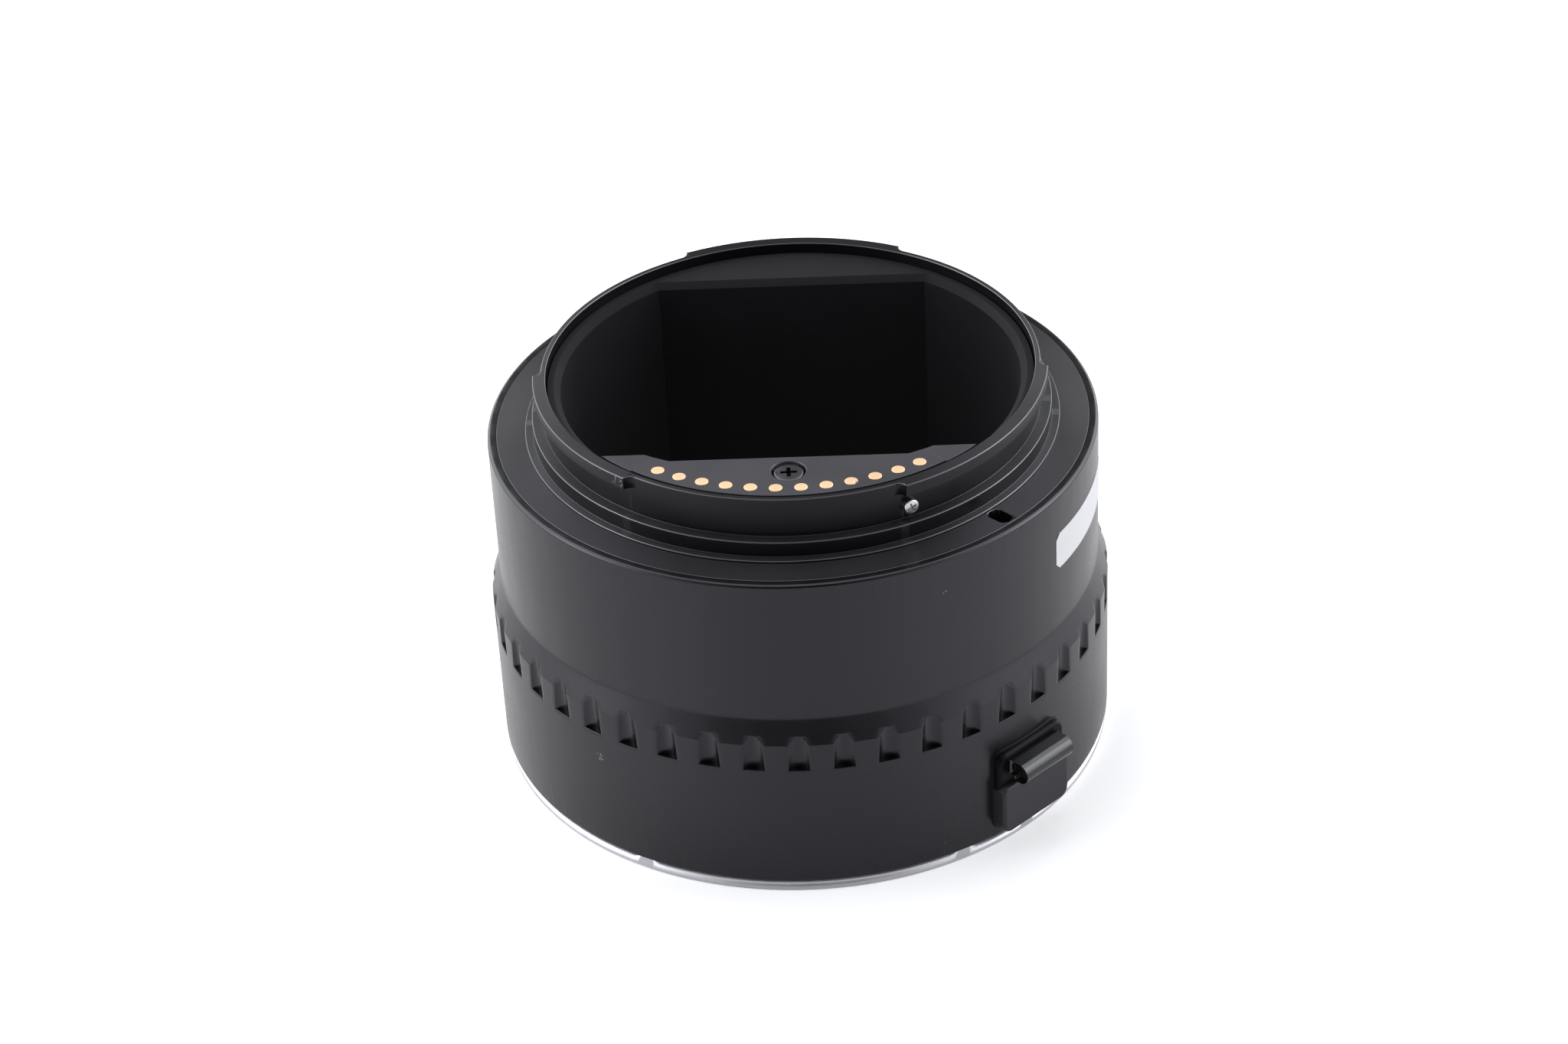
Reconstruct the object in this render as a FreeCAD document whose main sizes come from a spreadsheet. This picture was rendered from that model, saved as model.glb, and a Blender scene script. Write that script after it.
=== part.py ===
"""Macro extension tube for a medium-format mirrorless camera, 45 mm long.

Millimetres, +Z towards the camera. The origin is on the optical axis, in the face that a lens
is locked against. The row of electrical contacts lies towards -Y.
"""
import FreeCAD, Part
import Sketcher
import math
import os
import re

os.makedirs("parts", exist_ok=True)
doc = FreeCAD.newDocument("extension_tube")

SIZES = {
    # the two mount faces and the camera side bayonet
    "extension": 45.0,
    "plate_land": 3.65,
    "ledge_rise": 0.3,
    "ledge_step": 1.02,
    "spigot_rise": 2.3,
    "spigot_step": 1.4,
    "lug_reach": 0.95,
    "lug_thick": 1.65,
    "bayonet_rise": 7.5,
    "neck_wall": 0.69,
    "edge_break": 0.15,
    "lug_corner": 1.2,
    "lug_back_start": 63.9,
    "lug_back_span": 51.4,
    "lug_left_start": 181.9,
    "lug_left_span": 50.2,
    "lug_right_start": 295.7,
    "lug_right_span": 59.6,
    "plate_rim": 1.15,
    "plate_thick": 2.5,
    "plate_fit": 0.03,
    "slot_azimuth": 315.3,
    "slot_length": 3.1,
    "slot_rim": 0.42,
    "slot_width": 2.05,
    "slot_depth": 1.9,
    # barrel
    "cone_step": 1.26,
    "lower_radius": 39.83,
    "barrel_break": 0.45,
    "barrel_foot": 1.6,
    "cone_low": 22.4,
    "cone_high": 25.7,
    "upper_wall": 1.67,
    "lower_wall": 1.93,
    "bore_step_low": 19.5,
    "bore_step_high": 21.5,
    "inner_flange": 2.6,
    "inner_flange_inset": 0.35,
    "shoulder_top": 9.7,
    "rib_thick": 1.0,
    "rib_reach": 0.6,
    "grip_count": 45,
    "grip_floor": 18.75,
    "grip_depth": 0.8,
    "grip_radius": 1.6,
    "grip_tilt": 4.0,
    # lens side bayonet ring
    "face_step": 0.13,
    "face_break": 0.3,
    "collar_wall": 0.8,
    "seat_fit": 0.05,
    "mate_fit": 0.1,
    "collar_top": 7.6,
    "claw_low": 2.45,
    "claw_high": 5.45,
    "claw_clear": 0.15,
    "claw_gap": 1.5,
    "turn_to_lock": 60.0,
    "relief_step": 0.55,
    # screws
    "face_screw_count": 6,
    "face_screw_inset": 2.75,
    "face_screw_head": 1.8,
    "face_screw_head_depth": 1.0,
    "face_screw_shank": 0.95,
    "face_screw_length": 6.2,
    "flange_screw_count": 6,
    "flange_screw_inset": 3.7,
    "flange_screw_head": 1.4,
    "flange_screw_head_height": 1.2,
    "flange_screw_shank": 0.85,
    "flange_screw_bite": 2.0,
    "cross_width": 0.42,
    "cross_span": 1.9,
    "cross_depth": 0.55,
    "cross_turn": 35.0,
    "screw_fit": 0.03,
    # stop pin
    "stop_azimuth": 297.0,
    "stop_height": 49.1,
    "stop_radius": 0.95,
    "stop_proud": 0.85,
    # light tunnel
    "shelf_width": 1.6,
    "far_flat": 5.8,
    "near_flat": 7.4,
    "tunnel_wall": 0.8,
    "shelf_fit": 0.16,
    "shelf_drop": 1.35,
    "shelf_thick": 1.5,
    "shelf_chamfer": 0.8,
    "tunnel_flange_thick": 1.0,
    "block_boss": 2.2,
    "block_boss_length": 6.0,
    # contacts
    "contact_count": 12,
    "contact_inset": 1.85,
    "contact_margin": 1.3535,
    "pad_radius": 0.85,
    "pad_thick": 1.4,
    "pad_proud": 0.08,
    "pad_tail": 0.45,
    "block_drop": 0.2,
    "block_thick": 1.7,
    "block_inset": 0.25,
    "block_width": 8.6,
    "ear_reach": 1.85,
    "ear_start": 14.45,
    "ear_end": 17.45,
    "ear_drop": 0.15,
    "ear_margin": 5.4,
    "block_root": 1.6,
    "root_width": 2.5,
    "root_inset": 0.45,
    "root_margin": 3.0,
    "block_fit": 0.1,
    "block_screw_inset": 3.75,
    "block_screw_head": 1.85,
    "block_screw_recess": 2.1,
    "block_screw_sunk": 0.25,
    "block_screw_head_height": 0.8,
    "block_screw_shank": 0.95,
    "block_screw_length": 6.0,
    # flexible circuit
    "flex_thick": 0.2,
    "flex_inset": 0.3,
    "flex_half_width": 7.0,
    "flex_margin": 1.9,
    # lens side contact block and its sprung pins
    "lens_block_low": 7.9,
    "lens_block_high": 11.5,
    "lens_block_rim": 1.95,
    "lens_block_width": 7.85,
    "pin_tip": 0.55,
    "pin_tip_low": 6.6,
    "pin_collar": 0.85,
    "pin_collar_low": 9.0,
    "pin_collar_thick": 0.6,
    "pin_fit": 0.05,
    "coil_wire": 0.11,
    "tab_angle": 38.0,
    "tab_half_angle": 3.6,
    "tab_gap": 0.2,
    "tab_thick": 1.2,
    "tab_screw_inset": 1.2,
    "small_screw_head": 1.1,
    "small_screw_head_height": 0.6,
    "small_screw_shank": 0.6,
    "small_screw_length": 2.4,
    # lock pin, its spring and bracket, and the release slider
    "release_azimuth": 314.8,
    "lock_inset": 2.2,
    "lock_radius": 0.95,
    "lock_fit": 0.05,
    "lock_travel": 1.3,
    "lock_collar": 1.6,
    "lock_collar_thick": 0.45,
    "lock_stem": 0.7,
    "lock_top": 19.2,
    "bridge_low": 16.6,
    "bridge_thick": 0.8,
    "bracket_depth": 2.9,
    "bracket_gap": 0.6,
    "bracket_half_angle": 9.5,
    "bracket_wall_angle": 1.5,
    "foot_angle": 4.6,
    "lock_wire": 0.18,
    "lock_coil": 1.15,
    "lock_turns": 4.0,
    "boss_half_width": 5.9,
    "boss_low": 2.75,
    "boss_high": 14.3,
    "boss_rise": 1.67,
    "boss_step": 9.9,
    "boss_shelf_step": 0.8,
    "boss_round": 1.5,
    "recess_half_width": 5.15,
    "recess_low": 8.85,
    "slab_half_width": 5.0,
    "slab_low": 10.25,
    "slab_high": 13.15,
    "slab_proud": 0.1,
    "slab_fit": 0.05,
    "ridge_half_width": 4.2,
    "ridge_middle": 11.55,
    "ridge_rise": 2.3,
    "ridge_gap": 0.15,
    "tongue_half_width": 2.5,
    "tongue_low": 11.5,
    "tongue_high": 12.4,
    "tongue_reach": 1.2,
    "window_fit": 0.12,
    "boss_edge": 0.8,
    "boss_fillet": 0.6,
    "slab_round": 0.8,
    "ridge_radius": 1.86,
    "ridge_edge": 0.35,
    "tunnel_seat": 0.1,
    "flex_gap": 0.2,
    "pin_round": 0.3,
    "contact_turns": 3.0,
    "leaf_thick": 0.2,
    "leaf_bite": 0.2,
    "leaf_fit": 0.25,
    "leaf_half_angle": 22.0,
}

# Radii and places that follow from the driving sizes, each by a named wall, step or clearance
FORMULAS = {
    "upper_radius": "lower_radius - cone_step",
    "face_radius": "lower_radius - face_step",
    "lower_bore": "lower_radius - lower_wall",
    "upper_bore": "upper_radius - upper_wall",
    "plate_radius": "upper_radius - plate_rim",
    "ledge_radius": "plate_radius - plate_land",
    "spigot_radius": "ledge_radius - ledge_step",
    "neck_radius": "spigot_radius - spigot_step",
    "lug_radius": "neck_radius + lug_reach",
    "rim_bore": "neck_radius - neck_wall",
    "slot_outer": "plate_radius - slot_rim",
    "slot_inner": "slot_outer - slot_length",
    "inner_flange_bore": "neck_radius + inner_flange_inset",
    "stop_reach": "neck_radius + stop_proud",
    "claw_bore": "neck_radius + claw_clear",
    "relief_radius": "spigot_radius + mate_fit + relief_step",
    "leaf_outer": "relief_radius + leaf_bite",
    "collar_radius": "relief_radius + collar_wall",
    "rib_bore": "collar_radius - rib_reach",
    "face_screw_circle": "face_radius - face_screw_inset",
    "flange_screw_circle": "upper_bore - flange_screw_inset",
    "shelf_radius": "rim_bore - shelf_fit",
    "tunnel_radius": "shelf_radius - shelf_width",
    "tunnel_far": "tunnel_radius - far_flat",
    "tunnel_near": "tunnel_radius - near_flat",
    "tunnel_flange": "collar_radius - seat_fit",
    "block_radius": "shelf_radius - block_inset",
    "block_edge": "block_radius - block_width",
    "ear_edge": "block_edge - ear_reach",
    "root_outer": "block_radius - root_inset",
    "root_inner": "root_outer - root_width",
    "contact_circle": "block_radius - contact_inset",
    "contact_span": "2 * acos((tunnel_near + tunnel_wall + contact_margin) / contact_circle) / 1 deg",
    "contact_pitch": "contact_span / (contact_count - 1)",
    "root_angle": "contact_span / 2 + root_margin",
    "ear_line": "contact_span / 2 + ear_margin",
    "block_screw_y": "contact_circle - block_screw_inset",
    "flex_leg": "root_inner - flex_inset",
    "flex_edge": "block_screw_y - flex_margin",
    "lens_block_radius": "contact_circle + lens_block_rim",
    "lens_block_edge": "lens_block_radius - lens_block_width",
    "tab_outer": "rib_bore - tab_gap",
    "tab_screw_circle": "tab_outer - tab_screw_inset",
    "lock_circle": "lower_bore - lock_inset",
    "bracket_outer": "lower_bore - bracket_gap",
    "bracket_inner": "bracket_outer - bracket_depth",
    "boss_face": "lower_radius + boss_rise",
    "boss_shelf": "boss_face - boss_shelf_step",
    "slab_face": "boss_face + slab_proud",
    "ridge_crest": "boss_face + ridge_rise",
    "ridge_back": "slab_face + ridge_gap",
    "tongue_end": "lock_circle - tongue_reach",
}

sheet = doc.addObject("Spreadsheet::Sheet", "Sizes")
for row, (alias, number) in enumerate(SIZES.items(), start=1):
    sheet.set("A%d" % row, alias)
    sheet.set("B%d" % row, str(number))
    sheet.setAlias("B%d" % row, alias)
doc.recompute()

WORD = re.compile(r"[a-z_]+")
SKETCH_MIDDLE = 20
SKETCH_REACH = 5
finished = {}


def linked(text):
    """Write a formula of size names as an expression that reads the sheet."""
    def spell(word):
        name = word.group()
        if name in FORMULAS:
            return "(%s)" % linked(FORMULAS[name])
        return "Sizes." + name if name in SIZES else name
    return WORD.sub(spell, str(text))


def bind(thing, **formulas):
    """Tie properties of an object to formulas of the sheet's sizes."""
    for path, text in formulas.items():
        thing.setExpression(path.replace("__", "."), linked(text))
    return thing


def place(thing, x="0", y="0", z="0", turn="0"):
    """Stand an object at a point, turned about the optical axis direction by an angle."""
    thing.Placement = FreeCAD.Placement(FreeCAD.Vector(), FreeCAD.Rotation(FreeCAD.Vector(0, 0, 1), 1))
    return bind(thing, Placement__Base__x=x, Placement__Base__y=y, Placement__Base__z=z,
                Placement__Rotation__Angle=turn)


def polar(radius, angle):
    """The x and y formulas of a point at a radius and an azimuth."""
    return "(%s) * cos(%s)" % (radius, angle), "(%s) * sin(%s)" % (radius, angle)


def cylinder(name, radius, low, height, x="0", y="0", start="0", span="360"):
    """An upright cylinder, or a sector of one."""
    solid = doc.addObject("Part::Cylinder", name)
    bind(solid, Radius=radius, Height=height, Angle=span)
    return place(solid, x, y, low, start)


def cone(name, low_radius, high_radius, low, height, x="0", y="0"):
    """An upright cone."""
    solid = doc.addObject("Part::Cone", name)
    bind(solid, Radius1=low_radius, Radius2=high_radius, Height=height)
    return place(solid, x, y, low)


def box(name, x, y, z, length, width, height):
    """A block with its lowest corner at a point."""
    solid = doc.addObject("Part::Box", name)
    bind(solid, Length=length, Width=width, Height=height)
    return place(solid, x, y, z)


def spoke_box(name, azimuth, near, far, half_width, low, high):
    """A block that lies along a radius, from one distance off the axis to another."""
    solid = doc.addObject("Part::Box", name)
    bind(solid, Length="(%s) - (%s)" % (far, near), Width="2 * (%s)" % half_width,
         Height="(%s) - (%s)" % (high, low))
    x = "(%s) * cos(%s) + (%s) * sin(%s)" % (near, azimuth, half_width, azimuth)
    y = "(%s) * sin(%s) - (%s) * cos(%s)" % (near, azimuth, half_width, azimuth)
    return place(solid, x, y, low, azimuth)


def join(name, pieces):
    """One solid made of several."""
    solid = doc.addObject("Part::MultiFuse", name)
    solid.Shapes = pieces
    return solid


def cut(name, base, tools):
    """A solid with others taken out of it."""
    solid = doc.addObject("Part::Cut", name)
    solid.Base = base
    solid.Tool = tools[0] if len(tools) == 1 else join(name + "_tools", tools)
    return solid


def shared(name, pieces):
    """What several solids have in common."""
    solid = doc.addObject("Part::MultiCommon", name)
    solid.Shapes = pieces
    return solid


def sector(name, inner, outer, low, height, start="0", span="360"):
    """A ring or an arc of one, between two radii."""
    return cut(name, cylinder(name + "_outer", outer, low, height, start=start, span=span),
               [cylinder(name + "_inner", inner, low, height)])


def segment(name, radius, edge, low, height):
    """The part of a disc that lies beyond a chord towards -Y."""
    disc = cylinder(name + "_disc", radius, low, height)
    side = box(name + "_side", "-(%s)" % radius, "-(%s)" % radius, low, "2 * (%s)" % radius,
               "(%s) - (%s)" % (radius, edge), height)
    return shared(name, [disc, side])


def flattened(name, radius, far, near, low, height):
    """A disc with its far and near sides cut flat."""
    disc = cylinder(name + "_disc", radius, low, height)
    band = box(name + "_band", "-(%s)" % radius, "-(%s)" % near, low, "2 * (%s)" % radius,
               "(%s) + (%s)" % (far, near), height)
    return shared(name, [disc, band])


def turned(name, outline):
    """A body turned about the optical axis from a closed outline of radius and height formulas."""
    body = doc.addObject("PartDesign::Body", name)
    plane = [item for item in body.Origin.OriginFeatures if item.Role == "XZ_Plane"][0]
    sketch = body.newObject("Sketcher::SketchObject", name + "_outline")
    sketch.AttachmentSupport = [(plane, "")]
    sketch.MapMode = "FlatFace"
    count = len(outline)
    rough = [FreeCAD.Vector(SKETCH_MIDDLE + SKETCH_REACH * math.cos(2 * math.pi * i / count),
                            SKETCH_MIDDLE + SKETCH_REACH * math.sin(2 * math.pi * i / count), 0)
             for i in range(count)]
    for i in range(count):
        sketch.addGeometry(Part.LineSegment(rough[i], rough[(i + 1) % count]), False)
    for i in range(count):
        sketch.addConstraint(Sketcher.Constraint("Coincident", i, 2, (i + 1) % count, 1))
    for i, (radius, height) in enumerate(outline):
        for way, start, text in (("DistanceX", rough[i].x, radius), ("DistanceY", rough[i].y, height)):
            number = sketch.addConstraint(Sketcher.Constraint(way, -1, 1, i, 1, start))
            sketch.setExpression("Constraints[%d]" % number, linked(text))
    turn = body.newObject("PartDesign::Revolution", name + "_turn")
    turn.Profile = sketch
    turn.ReferenceAxis = (sketch, ["V_Axis"])
    turn.Angle = 360
    body.Tip = turn
    return body


def finish(label, solid):
    """Record an object as the finished piece that a file is written from."""
    solid.Label = label
    finished[label] = solid
    return solid


def lug_gaps(prefix, lugs, floor_radius, outer, low, height, corner):
    """Cutters for the gaps between lugs, with the round corners that the milling tool leaves."""
    cutters = []
    for i, (start, span) in enumerate(lugs):
        after = lugs[(i + 1) % len(lugs)][0]
        first = "(%s + %s)" % (start, span)
        last = "(%s%s)" % (after, " + 360" if i + 1 == len(lugs) else "")
        ring = "(%s + %s)" % (floor_radius, corner)
        lean = "asin(%s / %s) / 1 deg" % (corner, ring)
        name = "%s_gap_%d" % (prefix, i + 1)
        cutters.append(sector(name, floor_radius, outer, low, height, "%s + %s" % (first, lean),
                              "%s - %s - 2 * %s" % (last, first, lean)))
        for side, angle in (("start", "%s + %s" % (first, lean)), ("end", "%s - %s" % (last, lean))):
            x, y = polar(ring, angle)
            cutters.append(cylinder("%s_%s" % (name, side), corner, low, height, x, y))
    return cutters


def camera_mount_ring():
    """The black bayonet that goes into a camera: plate, spigot, neck and three lugs."""
    flange = "extension"
    top = "extension + bayonet_rise"
    ring = turned("camera_ring", [
        ("rim_bore", "extension - plate_thick"),
        ("plate_radius", "extension - plate_thick"),
        ("plate_radius", flange),
        ("ledge_radius", flange),
        ("ledge_radius", "extension + ledge_rise - edge_break"),
        ("ledge_radius - edge_break", "extension + ledge_rise"),
        ("spigot_radius", "extension + ledge_rise"),
        ("spigot_radius", "extension + spigot_rise - edge_break"),
        ("spigot_radius - edge_break", "extension + spigot_rise"),
        ("neck_radius", "extension + spigot_rise"),
        ("neck_radius", "extension + bayonet_rise - lug_thick"),
        ("lug_radius", "extension + bayonet_rise - lug_thick"),
        ("lug_radius", "extension + bayonet_rise - edge_break"),
        ("lug_radius - edge_break", top),
        ("rim_bore + edge_break", top),
        ("rim_bore", "extension + bayonet_rise - edge_break"),
    ])
    lugs = [("lug_back_start", "lug_back_span"), ("lug_left_start", "lug_left_span"),
            ("lug_right_start", "lug_right_span")]
    tools = lug_gaps("lug", lugs, "neck_radius", "lug_radius + 1", "extension + bayonet_rise - lug_thick - 0.5",
                     "lug_thick + 1", "lug_corner")
    inner, outer = "(slot_inner + slot_width / 2)", "(slot_outer - slot_width / 2)"
    tools.append(spoke_box("slot_middle", "slot_azimuth", inner, outer, "slot_width / 2",
                           "extension - slot_depth", "extension + 1"))
    for i, radius in enumerate((inner, outer)):
        x, y = polar(radius, "slot_azimuth")
        tools.append(cylinder("slot_end_%d" % (i + 1), "slot_width / 2", "extension - slot_depth",
                              "slot_depth + 1", x, y))
    tools.append(stop_pin_body("stop_hole", "stop_radius", "rim_bore - 1", "neck_radius + 1"))
    for i in range(int(SIZES["flange_screw_count"])):
        x, y = polar("flange_screw_circle", "%d * 360 / flange_screw_count" % i)
        tools.append(cylinder("flange_thread_%d" % i, "flange_screw_shank + screw_fit",
                              "extension - plate_thick", "flange_screw_bite + 0.1", x, y))
    return finish("camera_mount_ring", cut("camera_ring_milled", ring, tools))


def stop_pin_body(name, radius, near, far):
    """A cylinder that lies along a radius at the stop pin's place."""
    solid = doc.addObject("Part::Cylinder", name)
    bind(solid, Radius=radius, Height="(%s) - (%s)" % (far, near))
    aim = FreeCAD.Rotation(FreeCAD.Vector(0, 0, 1), FreeCAD.Vector(
        math.cos(math.radians(SIZES["stop_azimuth"])), math.sin(math.radians(SIZES["stop_azimuth"])), 0))
    solid.Placement = FreeCAD.Placement(FreeCAD.Vector(), aim)
    x, y = polar(near, "stop_azimuth")
    return bind(solid, Placement__Base__x=x, Placement__Base__y=y, Placement__Base__z="stop_height")


def stop_pin():
    """The silver pin in the neck that stops the turn at the locked place."""
    pin = stop_pin_body("stop_shank", "stop_radius", "rim_bore", "stop_reach")
    recess = stop_pin_body("stop_recess", "stop_radius * 0.45", "stop_reach - 0.35", "stop_reach + 1")
    return finish("stop_pin", cut("stop_pin_cut", pin, [recess]))


def rounded(name, base, radius, wanted):
    """Round the edges of a solid that a test picks out."""
    doc.recompute()
    numbers = [i for i, edge in enumerate(base.Shape.Edges, start=1) if wanted(edge)]
    solid = doc.addObject("Part::Fillet", name)
    solid.Base = base
    solid.Edges = [(number, radius, radius) for number in numbers]
    return solid


def spoke_frame(point):
    """The distance along the release direction and across it of a point."""
    angle = math.radians(SIZES["release_azimuth"])
    along = point.x * math.cos(angle) + point.y * math.sin(angle)
    across = point.y * math.cos(angle) - point.x * math.sin(angle)
    return along, across


def release_boss():
    """The raised housing for the release slider, with its plate, shelf and recess."""
    root = "lower_bore + 0.6"
    block = spoke_box("boss_block", "release_azimuth", root, "boss_face", "boss_half_width", "boss_low", "boss_high")
    corners = rounded("boss_corners", block, SIZES["boss_round"],
                      lambda edge: abs(spoke_frame(edge.Vertexes[0].Point)[0]
                                       - spoke_frame(edge.Vertexes[-1].Point)[0]) > 1)
    doc.recompute()
    face = max(spoke_frame(vertex.Point)[0] for vertex in block.Shape.Vertexes)
    soft = rounded("boss_soft", corners, SIZES["boss_edge"],
                   lambda edge: all(abs(spoke_frame(v.Point)[0] - face) < 0.01 for v in edge.Vertexes))
    shelf = spoke_box("boss_shelf_cut", "release_azimuth", "boss_shelf", "boss_face + 1", "boss_half_width + 1",
                      "boss_step", "boss_high + 1")
    recess = spoke_box("boss_recess", "release_azimuth", "boss_shelf", "boss_face + 1", "recess_half_width",
                       "recess_low", "boss_high + 1")
    return cut("boss", soft, [shelf, recess])


def at_boss_foot(edge):
    """Whether an edge runs where the release housing rises from the barrel."""
    low, high = SIZES["boss_low"] - 0.1, SIZES["boss_high"] + 0.1
    reach = SIZES["boss_half_width"] + 0.1
    middle = edge.valueAt((edge.FirstParameter + edge.LastParameter) / 2)
    points = [middle] + [vertex.Point for vertex in edge.Vertexes]
    on_wall = all(abs(math.hypot(p.x, p.y) - SIZES["lower_radius"]) < 0.01 for p in points)
    at_side = all(low < p.z < high and abs(spoke_frame(p)[1]) < reach and spoke_frame(p)[0] > 0 for p in points)
    return on_wall and at_side


def screw_holes(name, radius, low, height, count, circle, first="0"):
    """Round holes spaced evenly about the axis."""
    holes = []
    for i in range(int(SIZES[count])):
        x, y = polar(circle, "%s + %d * 360 / %s" % (first, i, count))
        holes.append(cylinder("%s_%d" % (name, i + 1), radius, low, height, x, y))
    return holes


def barrel():
    """The outer tube: turned, notched for grip, with the release housing on its lower part."""
    flange = "extension - plate_thick"
    shell = turned("barrel_shell", [
        ("collar_radius + seat_fit", "barrel_foot"),
        ("lower_radius - edge_break", "barrel_foot"),
        ("lower_radius", "barrel_foot + edge_break"),
        ("lower_radius", "cone_low"),
        ("upper_radius", "cone_high"),
        ("upper_radius", "extension - barrel_break"),
        ("upper_radius - barrel_break", "extension"),
        ("plate_radius + plate_fit", "extension"),
        ("plate_radius + plate_fit", flange),
        ("inner_flange_bore", flange),
        ("inner_flange_bore", flange + " - inner_flange"),
        ("upper_bore", flange + " - inner_flange"),
        ("upper_bore", "bore_step_high"),
        ("lower_bore", "bore_step_low"),
        ("lower_bore", "shoulder_top"),
        ("rib_bore", "shoulder_top"),
        ("rib_bore", "shoulder_top - rib_thick"),
        ("collar_radius + seat_fit", "shoulder_top - rib_thick"),
    ])
    grip = shell.newObject("PartDesign::SubtractiveCylinder", "grip_cutter")
    grip.Placement = FreeCAD.Placement(FreeCAD.Vector(), FreeCAD.Rotation(FreeCAD.Vector(1, 0, 0), 1))
    bind(grip, Radius="grip_radius", Height="cone_high - grip_floor + 2", Placement__Base__x="0",
         Placement__Base__y="-(lower_radius - grip_depth + grip_radius)", Placement__Base__z="grip_floor",
         Placement__Rotation__Angle="grip_tilt")
    ring = shell.newObject("PartDesign::PolarPattern", "grip_ring")
    ring.Originals = [grip]
    ring.Axis = ([item for item in shell.Origin.OriginFeatures if item.Role == "Z_Axis"][0], [""])
    ring.Angle = 360
    bind(ring, Occurrences="grip_count")
    shell.Tip = ring
    tools = [spoke_box("tongue_window", "release_azimuth", "lower_bore - 1", "boss_face + 1",
                       "tongue_half_width + window_fit", "tongue_low - lock_travel - window_fit",
                       "tongue_high + window_fit")]
    x, y = polar("lock_circle", "release_azimuth")
    tools.append(cylinder("lock_bore", "lock_radius + lock_fit", "barrel_foot - 1", "shoulder_top", x, y))
    tools += screw_holes("face_thread", "face_screw_shank + screw_fit", "barrel_foot - 1", "face_screw_length - 0.5",
                         "face_screw_count", "face_screw_circle")
    tools += screw_holes("flange_hole", "flange_screw_shank + screw_fit", flange + " - inner_flange - 1",
                         "inner_flange + 2", "flange_screw_count", "flange_screw_circle")
    for i, side in enumerate(("-", "+")):
        x, y = polar("(bracket_inner + bracket_outer) / 2", foot_middle(side))
        tools.append(cylinder("foot_thread_%d" % (i + 1), "small_screw_shank + screw_fit",
                              "shoulder_top - small_screw_length", "small_screw_length + 1", x, y))
    body = join("barrel_body", [shell, release_boss()])
    solid = rounded("barrel_soft", body, SIZES["boss_fillet"], at_boss_foot)
    return finish("barrel", cut("barrel_drilled", solid, tools))


def foot_middle(side):
    """The azimuth of the middle of a foot of the lock bracket."""
    return "(release_azimuth %s (bracket_half_angle + foot_angle / 2))" % side


def cross_recess(name, x, y, low, height, turn="0"):
    """The cross of a driver's recess, as two crossed bars."""
    bars = []
    for i, angle in enumerate((turn, "%s + 90" % turn)):
        bar = doc.addObject("Part::Box", "%s_bar_%d" % (name, i + 1))
        bind(bar, Length="cross_span", Width="cross_width", Height=height)
        px = "(%s) - cross_span / 2 * cos(%s) + cross_width / 2 * sin(%s)" % (x, angle, angle)
        py = "(%s) - cross_span / 2 * sin(%s) - cross_width / 2 * cos(%s)" % (y, angle, angle)
        bars.append(place(bar, px, py, low, angle))
    return bars


def group(label, solids):
    """Identical fasteners as separate solids of one piece."""
    doc.recompute()
    bundle = doc.addObject("Part::Compound", label + "_group")
    bundle.Links = solids
    return finish(label, bundle)


def lens_mount_ring():
    """The silver bayonet ring that a lens locks into, with three claws."""
    ring = turned("lens_ring", [
        ("ledge_radius + mate_fit", "0"),
        ("face_radius - face_break", "0"),
        ("face_radius", "face_break"),
        ("face_radius", "barrel_foot"),
        ("collar_radius", "barrel_foot"),
        ("collar_radius", "collar_top"),
        ("relief_radius", "collar_top"),
        ("relief_radius", "claw_high + leaf_thick + seat_fit"),
        ("leaf_outer + seat_fit", "claw_high + leaf_thick + seat_fit"),
        ("leaf_outer + seat_fit", "claw_high"),
        ("claw_bore", "claw_high"),
        ("claw_bore", "claw_low"),
        ("spigot_radius + mate_fit", "claw_low"),
        ("spigot_radius + mate_fit", "ledge_rise + mate_fit"),
        ("ledge_radius + mate_fit", "ledge_rise + mate_fit"),
    ])
    tools = []
    for name in ("lug_back", "lug_left", "lug_right"):
        start = "%s_start - turn_to_lock - claw_gap" % name
        tools.append(sector(name + "_entry", "claw_bore - 1", "relief_radius", "claw_low",
                            "claw_high - claw_low", start, "%s_span + 2 * claw_gap" % name))
    tools += screw_holes("face_clear", "face_screw_shank + screw_fit", "-1", "barrel_foot + 2",
                         "face_screw_count", "face_screw_circle")
    for i in range(int(SIZES["face_screw_count"])):
        x, y = polar("face_screw_circle", "%d * 360 / face_screw_count" % i)
        tools.append(cone("face_sink_%d" % (i + 1), "face_screw_head", "face_screw_shank + screw_fit", "0",
                          "face_screw_head_depth", x, y))
    x, y = polar("lock_circle", "release_azimuth")
    tools.append(cylinder("lock_hole", "lock_radius + lock_fit", "-1", "barrel_foot + 2", x, y))
    return finish("lens_mount_ring", cut("lens_ring_milled", ring, tools))


def lens_mount_screws():
    """The countersunk screws that hold the lens mount ring on the barrel."""
    screws = []
    for i in range(int(SIZES["face_screw_count"])):
        x, y = polar("face_screw_circle", "%d * 360 / face_screw_count" % i)
        name = "face_screw_%d" % (i + 1)
        head = cone(name + "_head", "face_screw_head - screw_fit", "face_screw_shank", "screw_fit",
                    "face_screw_head_depth - screw_fit", x, y)
        shank = cylinder(name + "_shank", "face_screw_shank", "face_screw_head_depth - 0.1",
                         "face_screw_length - face_screw_head_depth", x, y)
        screws.append(cut(name, join(name + "_blank", [head, shank]),
                          cross_recess(name, x, y, "-1", "1 + cross_depth", "%d * cross_turn" % (i + 1))))
    return group("lens_mount_screws", screws)


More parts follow.
